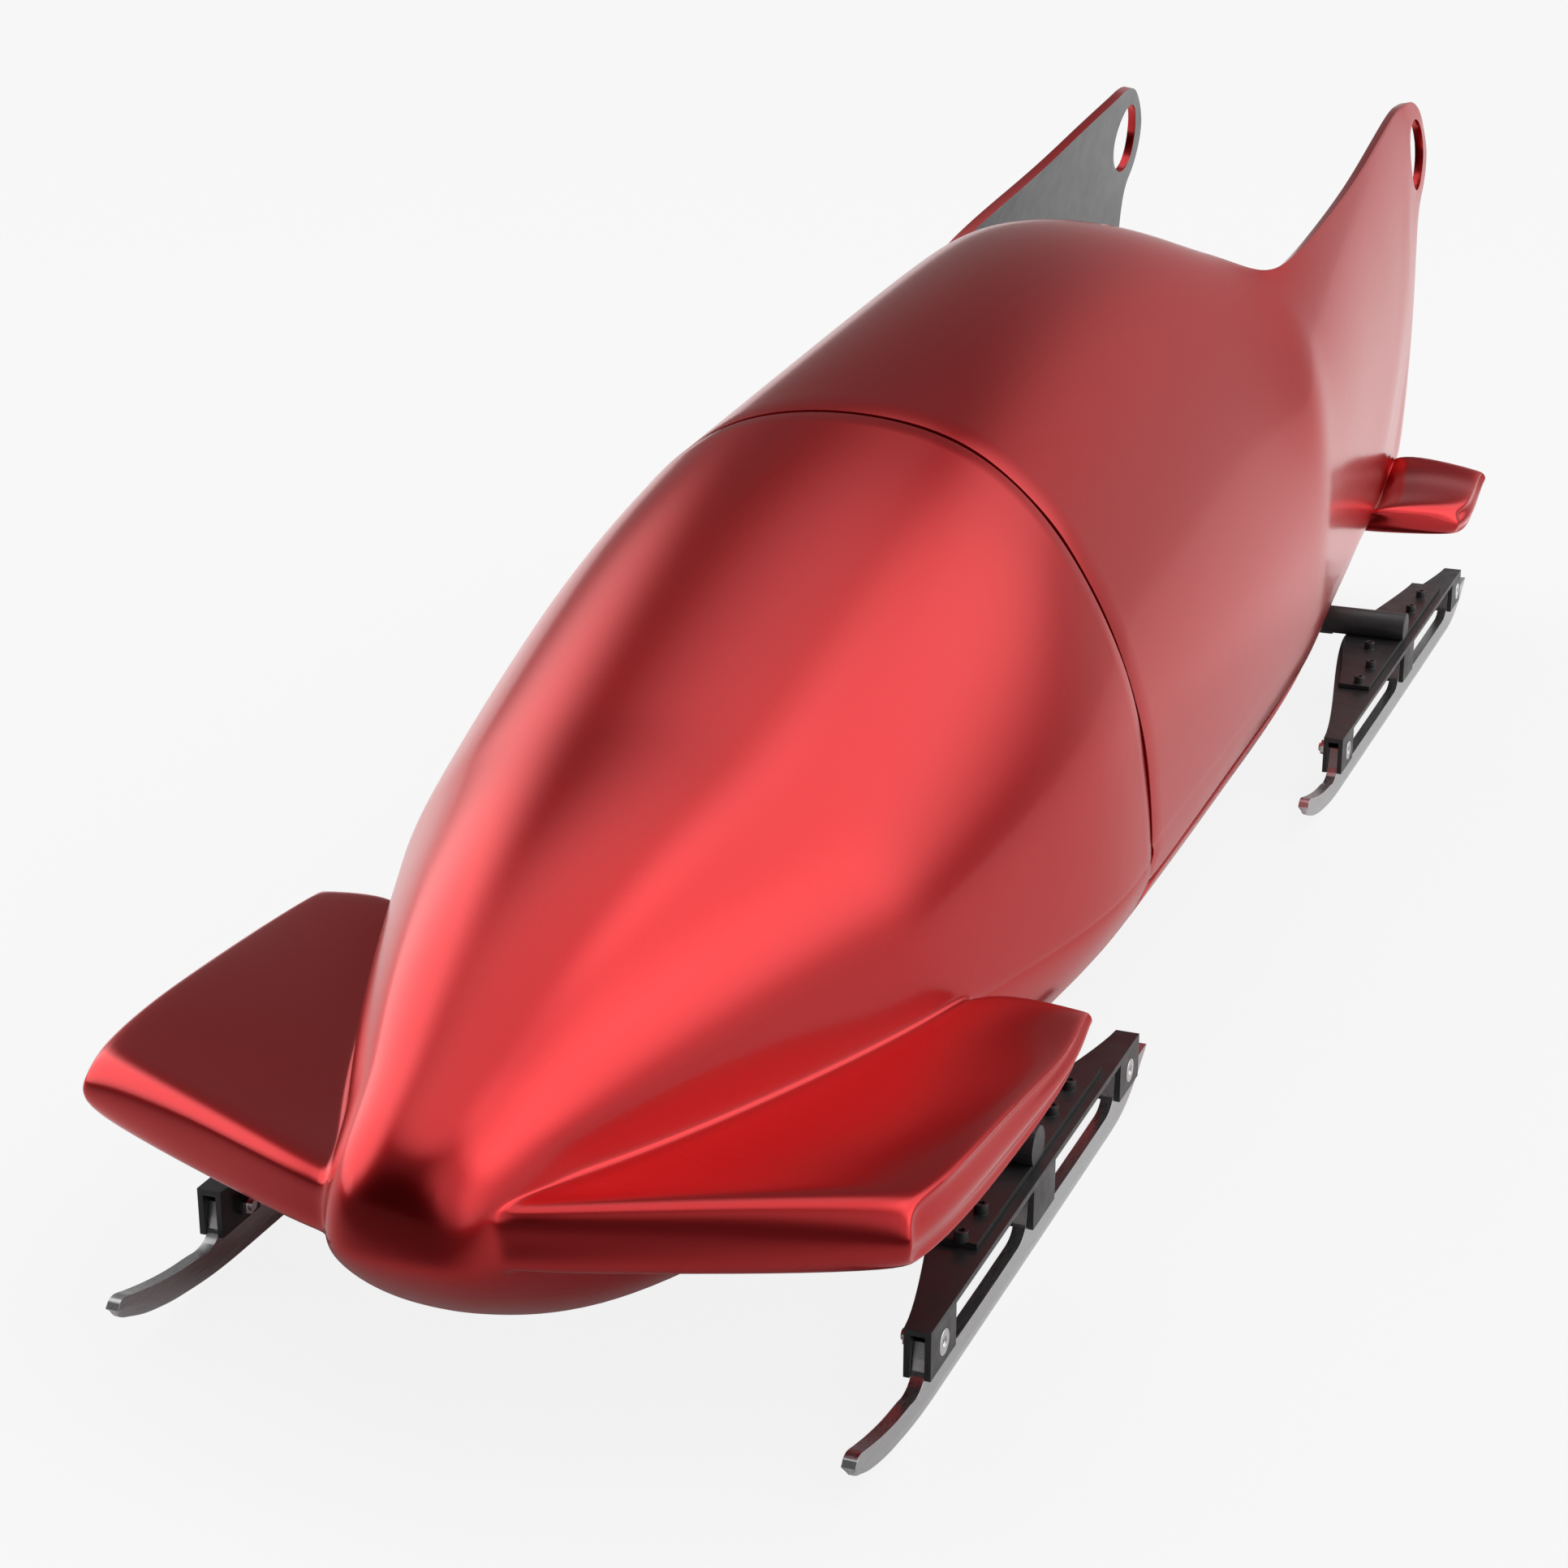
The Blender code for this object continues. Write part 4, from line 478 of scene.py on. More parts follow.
def angle_at(section, z):
    """The section's angle, counted from the top, at which it has the height z."""
    _, _, top, bottom, widest, upper, lower, _ = section
    if z > widest:
        return math.acos(min(1.0, (z - widest) / (top - widest)) ** (upper / 2))
    return math.acos(-(min(1.0, (widest - z) / (widest - bottom)) ** (lower / 2)))


def skin(section, angle):
    """A point of the body's surface."""
    y, half, top, bottom, widest, upper, lower, pinch = section
    cosine, sine = math.cos(angle), abs(math.sin(angle))
    roundness = upper if cosine > 0 else lower
    height = (top if cosine > 0 else bottom) - widest
    x = half * sine ** (2 / roundness)
    if cosine > 0:
        x *= 1 - pinch * math.sin(2 * angle) ** 2
    return Vector((x, y, widest + height * abs(cosine) ** (2 / roundness)))


def toward(azimuth, elevation):
    """The direction at an angle from the nose toward the sled's left, and at an angle above the ground."""
    level = math.cos(elevation)
    return Vector((math.sin(azimuth) * level, -math.cos(azimuth) * level, math.sin(elevation)))


def spread(first, last, count):
    return [first + (last - first) * step / count for step in range(count + 1)]


def limit_points(points, links):
    """Where the subdivided surface ends up for each corner of its cage."""
    found = []
    for index, (edges, diagonals, border) in enumerate(links):
        here = points[index]
        if border:
            found.append((points[border[0]] + here * 4 + points[border[1]]) / 6)
            continue
        count = len(edges)
        total = here * count * count
        for other in edges:
            total = total + points[other] * 4
        for other in diagonals:
            total = total + points[other]
        found.append(total / (count * (count + 5)))
    return found


def through_points(bm, shares, rounds=4):
    """Moves the cage until its subdivided surface runs through the points that the cage was drawn with.

    A corner whose share is below 1 is only moved by that part.
    """
    bm.verts.index_update()
    links = []
    for vert in bm.verts:
        edges = [edge.other_vert(vert).index for edge in vert.link_edges]
        near = set(edges) | {vert.index}
        diagonals = [v.index for face in vert.link_faces for v in face.verts if v.index not in near]
        border = [e.other_vert(vert).index for e in vert.link_edges if e.is_boundary]
        links.append((edges, diagonals, border))
    targets = [vert.co.copy() for vert in bm.verts]
    points = [vert.co.copy() for vert in bm.verts]
    for _ in range(rounds):
        reached = limit_points(points, links)
        moves = [target - limit for target, limit in zip(targets, reached)]
        points = [p + move * share for p, move, share in zip(points, moves, shares)]
    for vert, point in zip(bm.verts, points):
        vert.co = point


class Cage:
    """A quad cage whose corners are named by keys, so that wings can be grown out of its faces."""

    def __init__(self):
        self.points = {}
        self.faces = []
        self.thin = {}
        self.loose = {}
        self.eased = {}

    def add(self, key, point):
        self.points[key] = Vector(point)

    def grid(self, rings, rows, skip, closed):
        """Faces between rings and rows, where row runs from -rows to rows round the body."""
        for ring in range(rings - 1):
            for row in range(-rows, rows):
                if skip(ring, min(abs(row), abs(row + 1))):
                    continue
                corners = [(ring, row), (ring, row + 1), (ring + 1, row + 1), (ring + 1, row)]
                if closed:
                    corners = [(i, rows if j == -rows else j) for i, j in corners]
                self.faces.append(corners)

    def wing(self, side, rings, band, tip, loops):
        """A wing grown from two rows of faces: loops along the span, then a closed tip."""
        span = (loops[0], 1 - loops[1], 1)
        first, last = rings
        columns = list(range(first, last + 1))

        def key(step, column, level):
            if step == 0:
                return (column, side * (band + level))
            return ("wing", side, step, column, level)

        for step, share in enumerate(span, start=1):
            for place_in_tip, column in enumerate(columns):
                x, y, top, bottom = tip[place_in_tip]
                middle = (top + bottom) / 2
                heights = (top, middle, bottom)
                edge = column in (first, last)
                for level in range(3):
                    if level == 1 and not edge and step < len(span):
                        continue
                    root = self.points[(column, side * (band + level))]
                    end = Vector((side * x, y, heights[level]))
                    if step == len(span) and level != 1:
                        end.z = middle + (end.z - middle) * TIP_THICKNESS
                        end.x -= side * TIP_INSET
                    if level == 1 and column == first:
                        end.y -= LEADING_BULGE
                    elif column == first:
                        end.z = middle + (end.z - middle) * LEADING_THICKNESS
                    if level == 1 and column == last:
                        end.y += TRAILING_BULGE
                    self.add(key(step, column, level), root.lerp(end, share))
                    even = EVEN_FRONT if column - first < 2 else EVEN_BACK
                    thinning = EDGE_THINNING if edge else WING_THINNING
                    for place, weight in zip((key(step, column, level), key(0, column, level)), even):
                        self.eased[place] = weight
                        self.thin[place] = thinning

        def quad(*corners):
            self.faces.append([key(*corner) for corner in corners])

        for step in range(len(span)):
            out = step + 1
            for column in columns[:-1]:
                past = column + 1
                for flat in (0, 2):
                    quad((step, column, flat), (step, past, flat), (out, past, flat), (out, column, flat))
            for column in (first, last):
                for top in (0, 1):
                    low = top + 1
                    quad((step, column, top), (step, column, low), (out, column, low), (out, column, top))
        end = len(span)
        for column in columns[:-1]:
            past = column + 1
            for top in (0, 1):
                low = top + 1
                quad((end, column, top), (end, past, top), (end, past, low), (end, column, low))

    def shell(self, name, wall, lip, levels=3):
        """The subdivided shell, red outside and grey inside, its wall inwards and all its edges rounded."""
        bm = bmesh.new()
        used = {key for face in self.faces for key in face}
        verts = {key: bm.verts.new(point) for key, point in self.points.items() if key in used}
        thinner = {number: self.thin[key] for number, key in enumerate(verts) if key in self.thin}
        eased = {number: self.eased[key] for number, key in enumerate(verts) if key in self.eased}
        for face in self.faces:
            bm.faces.new([verts[key] for key in face])
        bmesh.ops.recalc_face_normals(bm, faces=bm.faces)
        through_points(bm, [self.loose.get(key, 1.0) for key in verts])
        bm.normal_update()
        outward = sum(face.normal.dot(face.calc_center_median() - Vector((0, 0, 0.25))) for face in bm.faces)
        if outward < 0:
            bmesh.ops.reverse_faces(bm, faces=bm.faces)
        mesh = bpy.data.meshes.new(name)
        bm.to_mesh(mesh)
        bm.free()
        mesh.shade_smooth()
        obj = bpy.data.objects.new(name, mesh)
        bpy.context.scene.collection.objects.link(obj)
        mesh.materials.append(PAINT)
        mesh.materials.append(LAMINATE)
        smooth = obj.modifiers.new("smooth", "SUBSURF")
        smooth.levels = levels
        smooth.render_levels = levels
        if eased:
            even = obj.modifiers.new("even", "SMOOTH")
            even.factor = 0.5
            even.iterations = EVEN_ROUNDS
            even.vertex_group = weigh(obj, "eased", eased)
        solid = obj.modifiers.new("wall", "SOLIDIFY")
        solid.thickness = wall
        solid.offset = -1
        solid.use_even_offset = False
        solid.material_offset = 1
        if thinner:
            solid.vertex_group = weigh(obj, "thin_wall", thinner)
            solid.invert_vertex_group = True
            solid.thickness_vertex_group = THIN_SHARE
        rounding = obj.modifiers.new("lip", "BEVEL")
        rounding.width = lip
        rounding.segments = 3
        rounding.limit_method = "ANGLE"
        rounding.angle_limit = math.radians(55)
        return obj


def weigh(obj, name, weights):
    """A vertex group with a weight for each of these corners."""
    group = obj.vertex_groups.new(name=name)
    for number, weight in weights.items():
        group.add([number], weight, "REPLACE")
    return group.name


def dome_value(t, middle, end, slope):
    """A cubic in t from 0, through middle at DOME_MIDDLE, to end at 1 with the given slope there."""
    m = DOME_MIDDLE
    third = (middle - m * (2 * end - slope) - m * m * (slope - end)) / (m - 2 * m * m + m**3)
    second = slope - end - 2 * third
    first = end - second - third
    return first * t + second * t**2 + third * t**3


def nose_section(y):
    """The body section at y, with the nose rounded off evenly in front of the third listed one."""
    section = section_at(y)
    if y >= DOME_END:
        return section
    tip_y = SECTIONS[0][0]
    t = math.sqrt(max(0.0, y - tip_y) / (DOME_END - tip_y))
    widest = DOME_Z + (SECTIONS[2][4] - DOME_Z) * t
    top = DOME_Z + dome_value(t, *DOME_ABOVE)
    bottom = DOME_Z - dome_value(t, *DOME_BELOW)
    return [y, dome_value(t, *DOME_HALF), top, bottom, widest, *section[5:]]


class Dome:
    """The nose's rounded end as one even surface: sections at equal steps of its law."""

    STEPS = 64

    def __init__(self):
        self.tip = SECTIONS[0][0]
        self.reach = DOME_END - self.tip
        shares = [max(step / self.STEPS, 0.01) for step in range(self.STEPS + 1)]
        self.sections = [nose_section(self.tip + self.reach * share**2) for share in shares]

    def outside(self, step, point):
        """Above 1 where the point lies outside the section at this step."""
        _, half, top, bottom, widest, upper, lower, _ = self.sections[step]
        height, roundness = (top - widest, upper) if point.z > widest else (widest - bottom, lower)
        across, up = abs(point.x / half), abs((point.z - widest) / height)
        return (across**roundness + up**roundness) ** (1 / roundness)

    def y(self, point):
        """How far forward the surface lies at the point's x and z."""
        low, high = 0, self.STEPS
        while high - low > 1:
            middle = (low + high) // 2
            if self.outside(middle, point) > 1:
                low = middle
            else:
                high = middle
        over, under = self.outside(low, point) - 1, 1 - self.outside(high, point)
        part = over / (over + under) if over + under > 0 else 0.0
        share = (low + min(max(part, 0.0), 1.2)) / self.STEPS
        return self.tip + self.reach * share**2

    def pull(self, point):
        """The point moved square onto the surface."""
        near = point.copy()
        step = 0.0005
        for _ in range(3):
            gap = self.y(near) - near.y
            slope = Vector((0.0, -1.0, 0.0))
            for axis in (0, 2):
                aside = Vector((0.0, 0.0, 0.0))
                aside[axis] = step
                slope[axis] = (self.y(near + aside) - self.y(near - aside)) / (2 * step)
            near -= slope * (gap / slope.length_squared)
        return near


def even_dome(obj):
    """Subdivides the nose's cage, then lays its end on the dome's surface."""
    others = [modifier for modifier in obj.modifiers if modifier.name != "smooth"]
    for modifier in others:
        modifier.show_viewport = False
    bpy.context.view_layer.update()
    graph = bpy.context.evaluated_depsgraph_get()
    divided = obj.evaluated_get(graph)
    mesh = bpy.data.meshes.new_from_object(divided, preserve_all_data_layers=True, depsgraph=graph)
    obj.modifiers.remove(obj.modifiers["smooth"])
    obj.data = mesh
    for modifier in others:
        modifier.show_viewport = True
    dome = Dome()
    for vert in mesh.vertices:
        if vert.co.y > DOME_BLEND[1]:
            continue
        pulled = dome.pull(vert.co)
        away = (pulled - vert.co).length
        behind = (DOME_BLEND[1] - vert.co.y) / (DOME_BLEND[1] - DOME_BLEND[0])
        share = min(1.0, behind) * min(1.0, max(0.0, (DOME_REACH - away) / (DOME_REACH / 2)))
        vert.co = vert.co.lerp(pulled, share)


def nose_cage():
    cage = Cage()
    rows = NOSE_DECK_ROWS + 2 + NOSE_BELLY_ROWS
    for ring, (y, top, middle, low) in enumerate(NOSE_RINGS):
        section = nose_section(y)
        top_angle = angle_at(section, top)
        low_angle = angle_at(section, low)
        angles = spread(0, top_angle, NOSE_DECK_ROWS)
        angles += [angle_at(section, middle)]
        angles += spread(low_angle, math.pi, NOSE_BELLY_ROWS)
        for row, angle in enumerate(angles):
            point = skin(section, angle)
            cage.add((ring, row), point)
            cage.add((ring, -row), (-point.x, point.y, point.z))
        del cage.points[(ring, -rows)]
    wing_first, wing_last = FRONT_WING_RINGS

    def in_wing(ring, row):
        return wing_first <= ring < wing_last and row in (NOSE_DECK_ROWS, NOSE_DECK_ROWS + 1)

    cage.grid(len(NOSE_RINGS), rows, in_wing, closed=True)
    for side in (1, -1):
        cage.wing(side, FRONT_WING_RINGS, NOSE_DECK_ROWS, FRONT_WING_TIP, FRONT_WING_LOOPS)
    close_nose(cage, rows)
    return cage


def close_nose(cage, rows):
    """A grid of faces over the first ring, bulged forward to the nose's foremost point."""
    side = rows // 2
    ring = [0] + list(range(1, rows + 1)) + list(range(-rows + 1, 0))
    start = -side // 2
    loop = [(0, ring[(start + step) % (2 * rows)]) for step in range(2 * rows)]
    names = {}
    for step in range(side):
        names[(step, 0)] = loop[step]
        names[(side, step)] = loop[side + step]
        names[(side - step, side)] = loop[2 * side + step]
        names[(0, side - step)] = loop[3 * side + step]
    for key in cage.points:
        if key[0] == 0:
            cage.thin[key] = 1.0
            cage.loose[key] = 0.3
            cage.eased[key] = 1.0
        elif key[0] == 1:
            cage.loose[key] = 0.7
            cage.eased[key] = 1.0
        elif key[0] == 2:
            cage.eased[key] = 0.5
    dome = Dome()

    def at(a, b):
        return cage.points[names[(a, b)]]

    for a in range(1, side):
        for b in range(1, side):
            s, t = a / side, b / side
            edge = at(a, 0) * (1 - t) + at(a, side) * t + at(0, b) * (1 - s) + at(side, b) * s
            near = at(0, 0) * (1 - s) * (1 - t) + at(side, 0) * s * (1 - t)
            far = at(0, side) * (1 - s) * t + at(side, side) * s * t
            point = edge - (near + far)
            point.y = dome.y(point)
            names[(a, b)] = ("cap", a, b)
            cage.add(("cap", a, b), point)
            cage.thin[("cap", a, b)] = 1.0
            cage.loose[("cap", a, b)] = 0.0
            cage.eased[("cap", a, b)] = 1.0
    for a in range(side):
        for b in range(side):
            corners = [(a, b), (a + 1, b), (a + 1, b + 1), (a, b + 1)]
            cage.faces.append([names[corner] for corner in corners])


def hull_point(ring, row):
    """A design point of the hull shell's right half."""
    y, top, middle, low, edge = HULL_RINGS[ring]
    rim_row = HULL_DECK_ROWS
    band_row = rim_row + HULL_SIDE_ROWS
    section = section_at(y)
    if row >= band_row:
        height = (top, middle, low, edge)[row - band_row]
        return skin(section, angle_at(section, height))
    if ring < LIP_RING:
        if row <= rim_row:
            return skin(section, RIM_ANGLE * row / rim_row)
        share = (row - rim_row) / HULL_SIDE_ROWS
        top_angle = angle_at(section, top)
        return skin(section, RIM_ANGLE + (top_angle - RIM_ANGLE) * share)
    if row < rim_row:
        return Vector(LIP[row]) if ring == LIP_RING else None
    rim = Vector(RIM[ring - LIP_RING])
    if row == rim_row:
        return rim
    share = (row - rim_row) / HULL_SIDE_ROWS
    if ring >= FIN_RING and row - rim_row - 1 < len(FIN_ROWS):
        place_on_fin = FIN_ROWS[row - rim_row - 1][ring - FIN_RING]
        if place_on_fin is None:
            return None
        y, z = place_on_fin
    else:
        eased = share**1.25
        y = rim.y + (y - rim.y) * min(1.0, share * 2)
        z = rim.z + (top - rim.z) * eased
    here = section_at(min(y, SECTIONS[-1][0]))
    point = skin(here, angle_at(here, z))
    at_rim = skin(here, angle_at(here, rim.z))
    point.x *= 1 + (rim.x / at_rim.x - 1) * max(0.0, 1 - share * 1.4)
    point.y = y
    return point


def hull_cage():
    cage = Cage()
    rim_row = HULL_DECK_ROWS
    band_row = rim_row + HULL_SIDE_ROWS
    rows = band_row + 3
    for ring in range(len(HULL_RINGS)):
        for row in range(rows + 1):
            point = hull_point(ring, row)
            if point is None:
                continue
            cage.add((ring, row), point)
            cage.add((ring, -row), (-point.x, point.y, point.z))
    hole_rings = (FIN_RING + 1, FIN_RING + 2)
    hole_rows = (rim_row + 1, rim_row + 2)
    wing_first, wing_last = REAR_WING_RINGS

    def left_out(ring, row):
        in_cockpit = ring >= LIP_RING and row < rim_row
        in_hole = ring in hole_rings and row in hole_rows
        in_wing = wing_first <= ring < wing_last and row in (band_row, band_row + 1)
        return in_cockpit or in_hole or in_wing

    cage.grid(len(HULL_RINGS), rows, left_out, closed=False)
    for side in (1, -1):
        cage.wing(side, REAR_WING_RINGS, band_row, REAR_WING_TIP, REAR_WING_LOOPS)
    return cage


def lower_edge(y):
    """Height of the hull shell's lower edge at y."""
    for (y0, *_, z0), (y1, *_, z1) in zip(HULL_RINGS, HULL_RINGS[1:]):
        if y <= y1:
            return z0 + (z1 - z0) * (y - y0) / (y1 - y0)
    return HULL_RINGS[-1][-1]


def belly_cage():
    cage = Cage()
    for ring, y in enumerate(BELLY_RINGS):
        section = section_at(y)
        start = angle_at(section, lower_edge(y) - SLIT)
        for row, angle in enumerate(reversed(spread(start, math.pi, BELLY_ROWS))):
            point = skin(section, angle)
            cage.add((ring, row), point)
            cage.add((ring, -row), (-point.x, point.y, point.z))
    cage.grid(len(BELLY_RINGS), BELLY_ROWS, lambda ring, row: False, closed=False)
    return cage


def finished(obj, name, sharp=35.0):
    """Applies the modifiers and gives the piece its final mesh."""
    bpy.context.view_layer.update()
    graph = bpy.context.evaluated_depsgraph_get()
    mesh = bpy.data.meshes.new_from_object(obj.evaluated_get(graph))
    mesh.name = name
    obj.modifiers.clear()
    obj.data = mesh
    obj.vertex_groups.clear()
    obj.name = name
    mesh.shade_smooth()
    mesh.set_sharp_from_angle(angle=math.radians(sharp))
    return obj


def place(name, bm, mat):
    bmesh.ops.recalc_face_normals(bm, faces=bm.faces)
    if bm.calc_volume(signed=True) < 0:
        bmesh.ops.reverse_faces(bm, faces=bm.faces)
    mesh = bpy.data.meshes.new(name)
    bm.to_mesh(mesh)
    bm.free()
    obj = bpy.data.objects.new(name, mesh)
    bpy.context.scene.collection.objects.link(obj)
    mesh.materials.append(mat)
    return obj


def block(name, low, high, mat):
    bm = bmesh.new()
    bmesh.ops.create_cube(bm, size=1)
    for vert in bm.verts:
        for axis in range(3):
            vert.co[axis] = low[axis] if vert.co[axis] < 0 else high[axis]
    return place(name, bm, mat)


def rod(name, start, end, radius, mat, sides=48):
    start = Vector(start)
    along = Vector(end) - start
    bm = bmesh.new()
    bmesh.ops.create_cone(
        bm, cap_ends=True, segments=sides, radius1=radius, radius2=radius, depth=along.length
    )
    turn = along.to_track_quat("Z", "Y").to_matrix()
    for vert in bm.verts:
        vert.co = start + along / 2 + turn @ vert.co
    return place(name, bm, mat)


def slab(name, side, outline, thickness, mat):
    """A plate drawn in plan as (x, y) on the sled's left, between two heights, on the side asked for."""
    bm = bmesh.new()
    low, high = ([bm.verts.new((side * x, y, z)) for x, y in outline] for z in thickness)
    bm.faces.new(low)
    bm.faces.new(high[::-1])
    count = len(outline)
    for i in range(count):
        nxt = (i + 1) % count
        bm.faces.new([low[nxt], low[i], high[i], high[nxt]])
    return place(name, bm, mat)


def combine(obj, others, operation):
    group = bpy.data.collections.new(f"{obj.name}_{operation.lower()}")
    for other in others:
        group.objects.link(other)
    modifier = obj.modifiers.new(operation.lower(), "BOOLEAN")
    modifier.operation = operation
    modifier.operand_type = "COLLECTION"
    modifier.collection = group
    modifier.solver = "EXACT"
    bpy.context.view_layer.update()
    graph = bpy.context.evaluated_depsgraph_get()
    mesh = bpy.data.meshes.new_from_object(obj.evaluated_get(graph))
    obj.modifiers.clear()
    obj.data = mesh
    for other in others:
        bpy.data.objects.remove(other)
    bpy.data.collections.remove(group)
    return obj


def soften(obj, width, segments=2, limit=38.0):
    """Rounds the sharp edges, so that they catch the light as machined and cast edges do."""
    edge = obj.modifiers.new("edges", "BEVEL")
    edge.width = width
    edge.segments = segments
    edge.limit_method = "ANGLE"
    edge.angle_limit = math.radians(limit)
    edge.miter_outer = "MITER_ARC"
    return obj


def mirror_x(side, low, high):
    """The two corners of a box on the sled's left, or of its mirror image."""
    if side > 0:
        return low, high
    return (-high[0], low[1], low[2]), (-low[0], high[1], high[2])


def stand_for(obj, body, node):
    """obj rides on the body in place of the CAD node, which is hidden."""
    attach(obj, body)
    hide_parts(node)


# Openings in the shells: for the front axle stubs x and z, for the rear axle and the brake claw x, and their
# lowest and highest points; then the room round the axles
STUB_SLOT = ((0.100, 0.360), (0.040, 0.134))
STUB_ROOM = AXLE_RADIUS + 0.0135
AXLE_SLOT_X = 0.36
AXLE_ROOM = AXLE_RADIUS + 0.003
CLAW_SLOT_X = 0.055
CLAW_SLOT_Y = (BRAKE_AXLE_Y + 0.015, BRAKE_AXLE_Y + 0.265)
BELLY_SLOT_LOW = 0.050
CLAW_SLOT_TOP = 0.200


def make_shells():
    nose = nose_cage().shell("nose_shell", NOSE_WALL, 0.0015)
    even_dome(nose)
    finished(nose, "nose_shell")
    (near, far), (low_z, high_z) = STUB_SLOT
    cuts = []
    for side in (1, -1):
        low, high = mirror_x(
            side, (near, FRONT_AXLE_Y - STUB_ROOM, low_z), (far, FRONT_AXLE_Y + STUB_ROOM, high_z)
        )
        cuts.append(block(f"knuckle_slot_{side}", low, high, PAINT))
    combine(nose, cuts, "DIFFERENCE")
    finished(nose, "nose_shell")
    stand_for(nose, "front_section", "nose_cowling")
    hull = finished(hull_cage().shell("hull_shell", HULL_WALL, 0.0042), "hull_shell")
    stand_for(hull, "rear_section", "hull_cowling")
    belly = finished(belly_cage().shell("belly_shell", BELLY_WALL, 0.0020), "belly_shell")
    slots = {
        "axle_slot": (AXLE_SLOT_X, (REAR_AXLE_Y - AXLE_ROOM, REAR_AXLE_Y + AXLE_ROOM), AXLE_Z + AXLE_ROOM),
        "claw_slot": (CLAW_SLOT_X, CLAW_SLOT_Y, CLAW_SLOT_TOP),
    }
    cuts = [
        block(name, (-x, front, BELLY_SLOT_LOW), (x, rear, top), PAINT)
        for name, (x, (front, rear), top) in slots.items()
    ]
    combine(belly, cuts, "DIFFERENCE")
    finished(belly, "belly_shell")
    stand_for(belly, "rear_section", "belly_pan")


def leg_spans(ends, axle_y):
    """Where the three legs of a carrier stand along the sled."""
    front, rear = ends
    half = LEG_LENGTH / 2
    return [(front, front + LEG_LENGTH), (axle_y - half, axle_y + half), (rear - LEG_LENGTH, rear)]


def inner_edge(ends, axle_y, outer, narrow, widest, steps=40):
    """A leaf-shaped plate in plan: straight outside, and swelling inwards at the axle."""
    front, rear = ends
    outline = [(outer, front), (outer, rear)]
    for step in range(steps + 1):
        y = rear + (front - rear) * step / steps
        reach = (y - axle_y) / ((rear if y > axle_y else front) - axle_y)
        swell = (1 - abs(reach) ** 1.35) ** 1.35 if abs(reach) < 1 else 0.0
        outline.append((narrow - (narrow - widest) * swell, y))
    return outline


def across(side, first, last, y):
    """Both ends of a line across a carrier, at the height of its end bolts."""
    return (side * first, y, END_BOLT_Z), (side * last, y, END_BOLT_Z)


def make_carrier(corner, side, ends, axle_y):
    web = CARRIER_TOP - CARRIER_WEB
    outline = inner_edge(ends, axle_y, CARRIER_OUTER, CARRIER_INNER, CENTRE - CARRIER_WIDEST + PLATE_BACK)
    plate = slab(f"{corner}_bridge", side, outline, (web, CARRIER_TOP), BLACK)
    legs = []
    walls = ((CARRIER_INNER, WALL_INSIDE), (WALL_OUTSIDE, CARRIER_OUTER))
    for number, (start, end) in enumerate(leg_spans(ends, axle_y)):
        for wall, (low_x, high_x) in enumerate(walls):
            low, high = mirror_x(side, (low_x, start, LEG_BOTTOM), (high_x, end, web + CARRIER_WEB / 2))
            legs.append(block(f"{corner}_leg_{number}_{wall}", low, high, BLACK))
    cuts = []
    past = CARRIER_OUTER + PAST
    for number, y in enumerate(END_BOLTS[ends]):
        boss = across(side, BOSS_END, CARRIER_INNER + BOSS_ROOT, y)
        legs.append(rod(f"{corner}_boss_{number}", *boss, BOSS_RADIUS, BLACK, sides=40))
        bore = across(side, BOSS_END - PAST, past, y)
        cuts.append(rod(f"{corner}_bore_{number}", *bore, END_BOLT_RADIUS + GAP, BLACK, sides=32))
        sink = across(side, CARRIER_OUTER - SINK_DEPTH, past, y)
        cuts.append(rod(f"{corner}_sink_{number}", *sink, END_BOLT_HEAD + GAP, BLACK))
    combine(plate, legs, "UNION")
    combine(plate, cuts, "DIFFERENCE")
    soften(plate, EDGE_ROUND, segments=3)
    return plate, f"{corner}_carrier", "black_paint"


# Runner seen from the side. Toe: distance behind the tip and height, of its top and of its sole.
# Post: distance outside a carrier leg and height of the fillet that rises into it.
TOE_TOP = [
    (0.0, 0.0475),
    (0.005, 0.0530),
    (0.013, 0.0545),
    (0.030, 0.0500),
    (0.060, 0.0425),
    (0.095, 0.0360),
    (0.130, 0.0322),
]
TOE_SOLE = [
    (0.0, 0.0465),
    (0.007, 0.0374),
    (0.022, 0.0300),
    (0.045, 0.0210),
    (0.075, 0.0132),
    (0.100, 0.0085),
    (0.155, 0.0020),
    (0.210, 0.0),
]
HEEL_SOLE = [(0.110, 0.0), (0.065, 0.0045), (0.0275, 0.0190), (0.008, 0.0370), (0.0, 0.0460)]
POST_FILLET = [(0.026, 0.0), (0.014, 0.0020), (0.007, 0.0060), (0.003, 0.0120), (0.001, 0.0220)]
POST_SETBACK = 0.007
POST_CLEAR = 0.010
POST_SLOPE = 0.003
TAIL_FILLET = [(0.001, 0.004), (0.006, 0.0)]
BLADE_TOP = 0.0305
BLADE_TAPER = 0.0125
SOLE_WIDTH = 0.0052
BLADE_STEP = 0.004
BLADE_THINNEST = 0.0005


